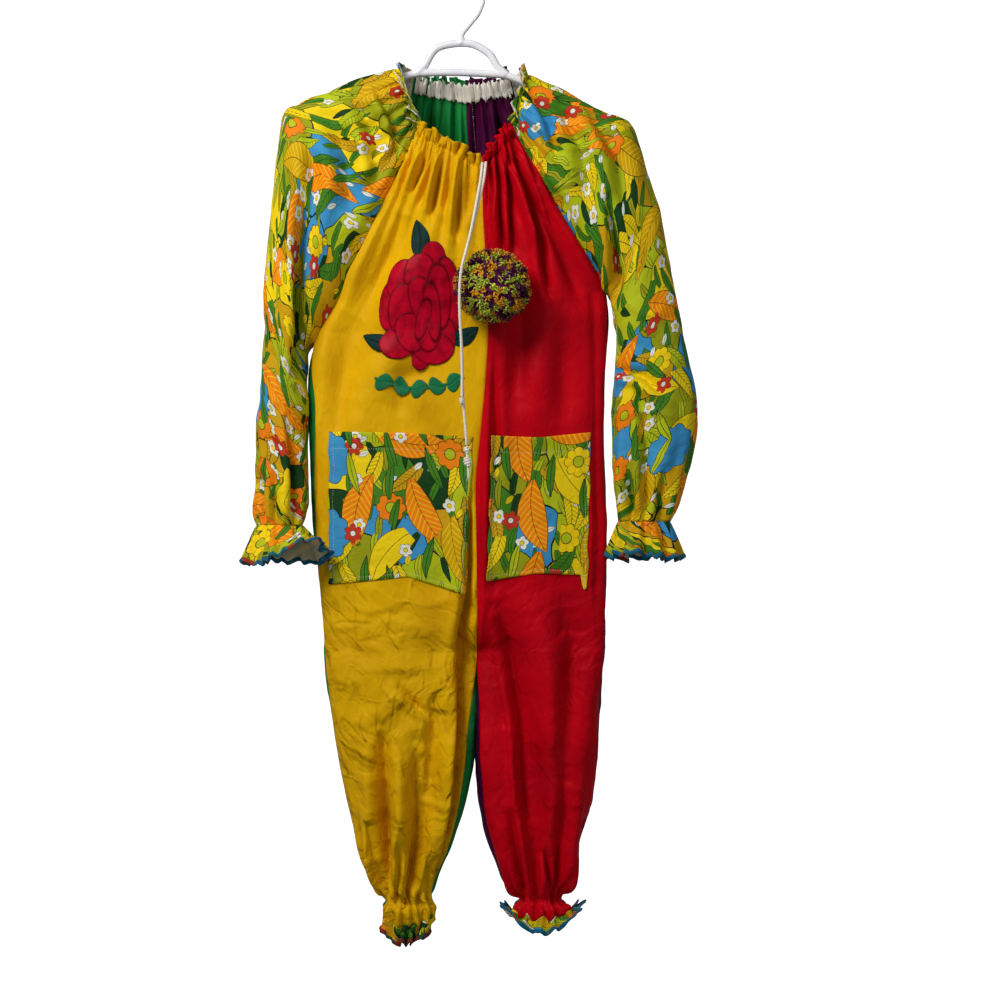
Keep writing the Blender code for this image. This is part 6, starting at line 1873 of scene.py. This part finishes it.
hookStem = (
    (1.4, 0, -81.9), (1.4, 0, -78.5), (3.4, 0, -73.5), (8.6, 0, -67.0), (16.4, 0, -57.5), (24.6, 0, -47.0),
)

hanger = dict(tube=10.6, arch=11.0, wire=7.6, hookRadius=31.5, voxel=1.1)


def roundBar(name, path, diameters):
    # a round bar along a path, as a bevelled curve made into a mesh
    curve = bpy.data.curves.new(name, "CURVE")
    curve.dimensions = "3D"
    curve.bevel_depth = 1.0 * mm
    curve.bevel_resolution = 8
    curve.use_fill_caps = True
    spline = curve.splines.new("POLY")
    spline.points.add(len(path) - 1)
    for point, place, diameter in zip(spline.points, path, np.broadcast_to(diameters, (len(path),))):
        point.co = (*(np.array(place) * mm), 1)
        point.radius = diameter / 2
    bar = bpy.data.objects.new(name, curve)
    bpy.context.scene.collection.objects.link(bar)
    return bar


def endDome(path, diameter):
    # the tube's diameter along it, rounded off at both ends
    run = runAlong(path)
    near = np.minimum(run, run[-1] - run)
    return diameter * np.sqrt(np.clip(1 - np.clip(1 - near / (diameter / 2), 0, 1) ** 2, 0.02, 1))


bow, arch = smoothPath(hangerBow, 2.0), smoothPath(hangerArch, 2.0)
a = np.radians(np.arange(-8, 172.5, 2.0))
hook = hanger["hookRadius"]
arc = np.stack((hook * np.cos(a), 0 * a, 3.5 - hook + hook * np.sin(a)), -1)
stem = smoothPath([(1.4, 0, -88.5), *hookStem, tuple(arc[0])], 1.5)
wire = np.concatenate((stem[:-1], arc))
run = runAlong(wire)
wireWide = hanger["wire"] * np.sqrt(np.clip(1 - np.clip(1 - (run[-1] - run) / 3.5, 0, 1) ** 2, 0.02, 1))
wireWide = wireWide + 6.0 * np.exp(-(run / 9.0) ** 2)
archRun = runAlong(arch)
archEnd = np.minimum(archRun, archRun[-1] - archRun)
archWide = hanger["arch"] + 2.2 * np.exp(-(archEnd / 14) ** 2)
bars = [roundBar("hanger.bow", bow, endDome(bow, hanger["tube"])), roundBar("hanger.arch", arch, archWide),
        roundBar("hanger.hook", wire, wireWide)]
selectOnly(bars)
bpy.ops.object.convert(target="MESH")
selectOnly(bars)
bpy.ops.object.join()
hangerObject = bpy.context.object
hangerObject.name = "hanger.moulding"
skin = hangerObject.modifiers.new("skin", "REMESH")
skin.mode, skin.voxel_size = "VOXEL", hanger["voxel"] * mm
bpy.ops.object.modifier_apply(modifier="skin")
soften = hangerObject.modifiers.new("soften", "SMOOTH")
soften.factor, soften.iterations = 0.5, 6
bpy.ops.object.modifier_apply(modifier="soften")
bpy.ops.object.shade_smooth()


def plasticFinish():
    # milky moulded plastic: faint flow marks, a few scuffs and the mould's parting line
    paint = Paint("milky_plastic", Coat_Weight=0.35, Coat_Roughness=0.12, Specular_IOR_Level=0.5)
    at = paint.place()
    split = paint.node("SeparateXYZ", None, {0: at})
    cloud = paint.grain(at, 0.03, 3.0)
    scuff = paint.grain(at, 0.004, 5.0, 0.7)
    line = 1 - (split["Y"].size() / 0.00045).least(1.0)
    colour = paint.mix(cloud.between(0.35, 0.7), (0.97, 0.97, 1.0), (0.90, 0.90, 0.96))
    paint.raise_by(line, 0.00018, 0.7)
    paint.raise_by(scuff, 0.00006, 0.4)
    return paint.done(colour, 0.24 + scuff.between(0.45, 0.75) * 0.12)


finishes["plastic"] = plasticFinish()
hangerObject.data.materials.clear()
hangerObject.data.materials.append(finishes["plastic"])
settle(hangerObject, "plastic", "hanger_frame", "hanger_hook")
print("hanger made")


# stitches: threads proud of the cloth along the pockets and a seam inside the neck
faces = []
for b in range(0, 6 * len(stitchRuns), 6):
    for k in range(4):
        j = (k + 1) % 4
        faces += [(b, b + 1 + k, b + 1 + j), (b + 5, b + 1 + j, b + 1 + k)]
points = np.concatenate([np.array(stitch) for stitch in stitchRuns])
settle(newObject("stitches.thread", points, faces, finishes["thread"], rounded=False), "cream")
print("stitches made:", len(stitchRuns))


# each sheet's piece, looked up in turn
for node, facts in sheets.items():
    panels[node]["object"]


# the studio: a bright wall all round, a broad lamp from the upper left and soft fill
def glow(name, colour, strength):
    material = bpy.data.materials.new(name)
    material.use_nodes = True
    shader = material.node_tree.nodes["Principled BSDF"]
    shader.inputs["Base Color"].default_value = (*colour, 1)
    shader.inputs["Roughness"].default_value = 0.9
    shader.inputs["Emission Color"].default_value = (*colour, 1)
    shader.inputs["Emission Strength"].default_value = strength
    return material


bpy.ops.mesh.primitive_uv_sphere_add(segments=48, ring_count=24, radius=14, location=(0, 0, -0.7))
wall = bpy.context.object
wall.name = "studio.wall"
wall.data.materials.append(glow("studio_white", (1.0, 1.0, 1.0), 1.0))
wall.visible_diffuse = wall.visible_glossy = wall.visible_shadow = False
for name, place, size, power, colour in (
        ("key", (-1.15, -1.60, 0.78), 0.9, 42, (1.0, 0.98, 0.95)),
        ("fill", (1.7, -2.4, 0.2), 1.6, 9, (0.95, 0.97, 1.0)),
        ("back", (-0.9, 3.0, 0.3), 1.8, 30, (1.0, 1.0, 1.0))):
    bpy.ops.object.light_add(type="AREA", location=place)
    lamp = bpy.context.object
    lamp.name = "studio." + name
    lamp.data.size, lamp.data.energy, lamp.data.color = size, power, colour
    aim = Vector((0.05, 0, -0.5)) - Vector(place)
    lamp.rotation_euler = aim.to_track_quat("-Z", "Y").to_euler()
world = bpy.data.worlds.new("studio")
bpy.context.scene.world = world
world.use_nodes = True
world.node_tree.nodes["Background"].inputs["Color"].default_value = (0.93, 0.95, 1.0, 1)
world.node_tree.nodes["Background"].inputs["Strength"].default_value = 0.20
bpy.context.scene.view_settings.view_transform = "Standard"
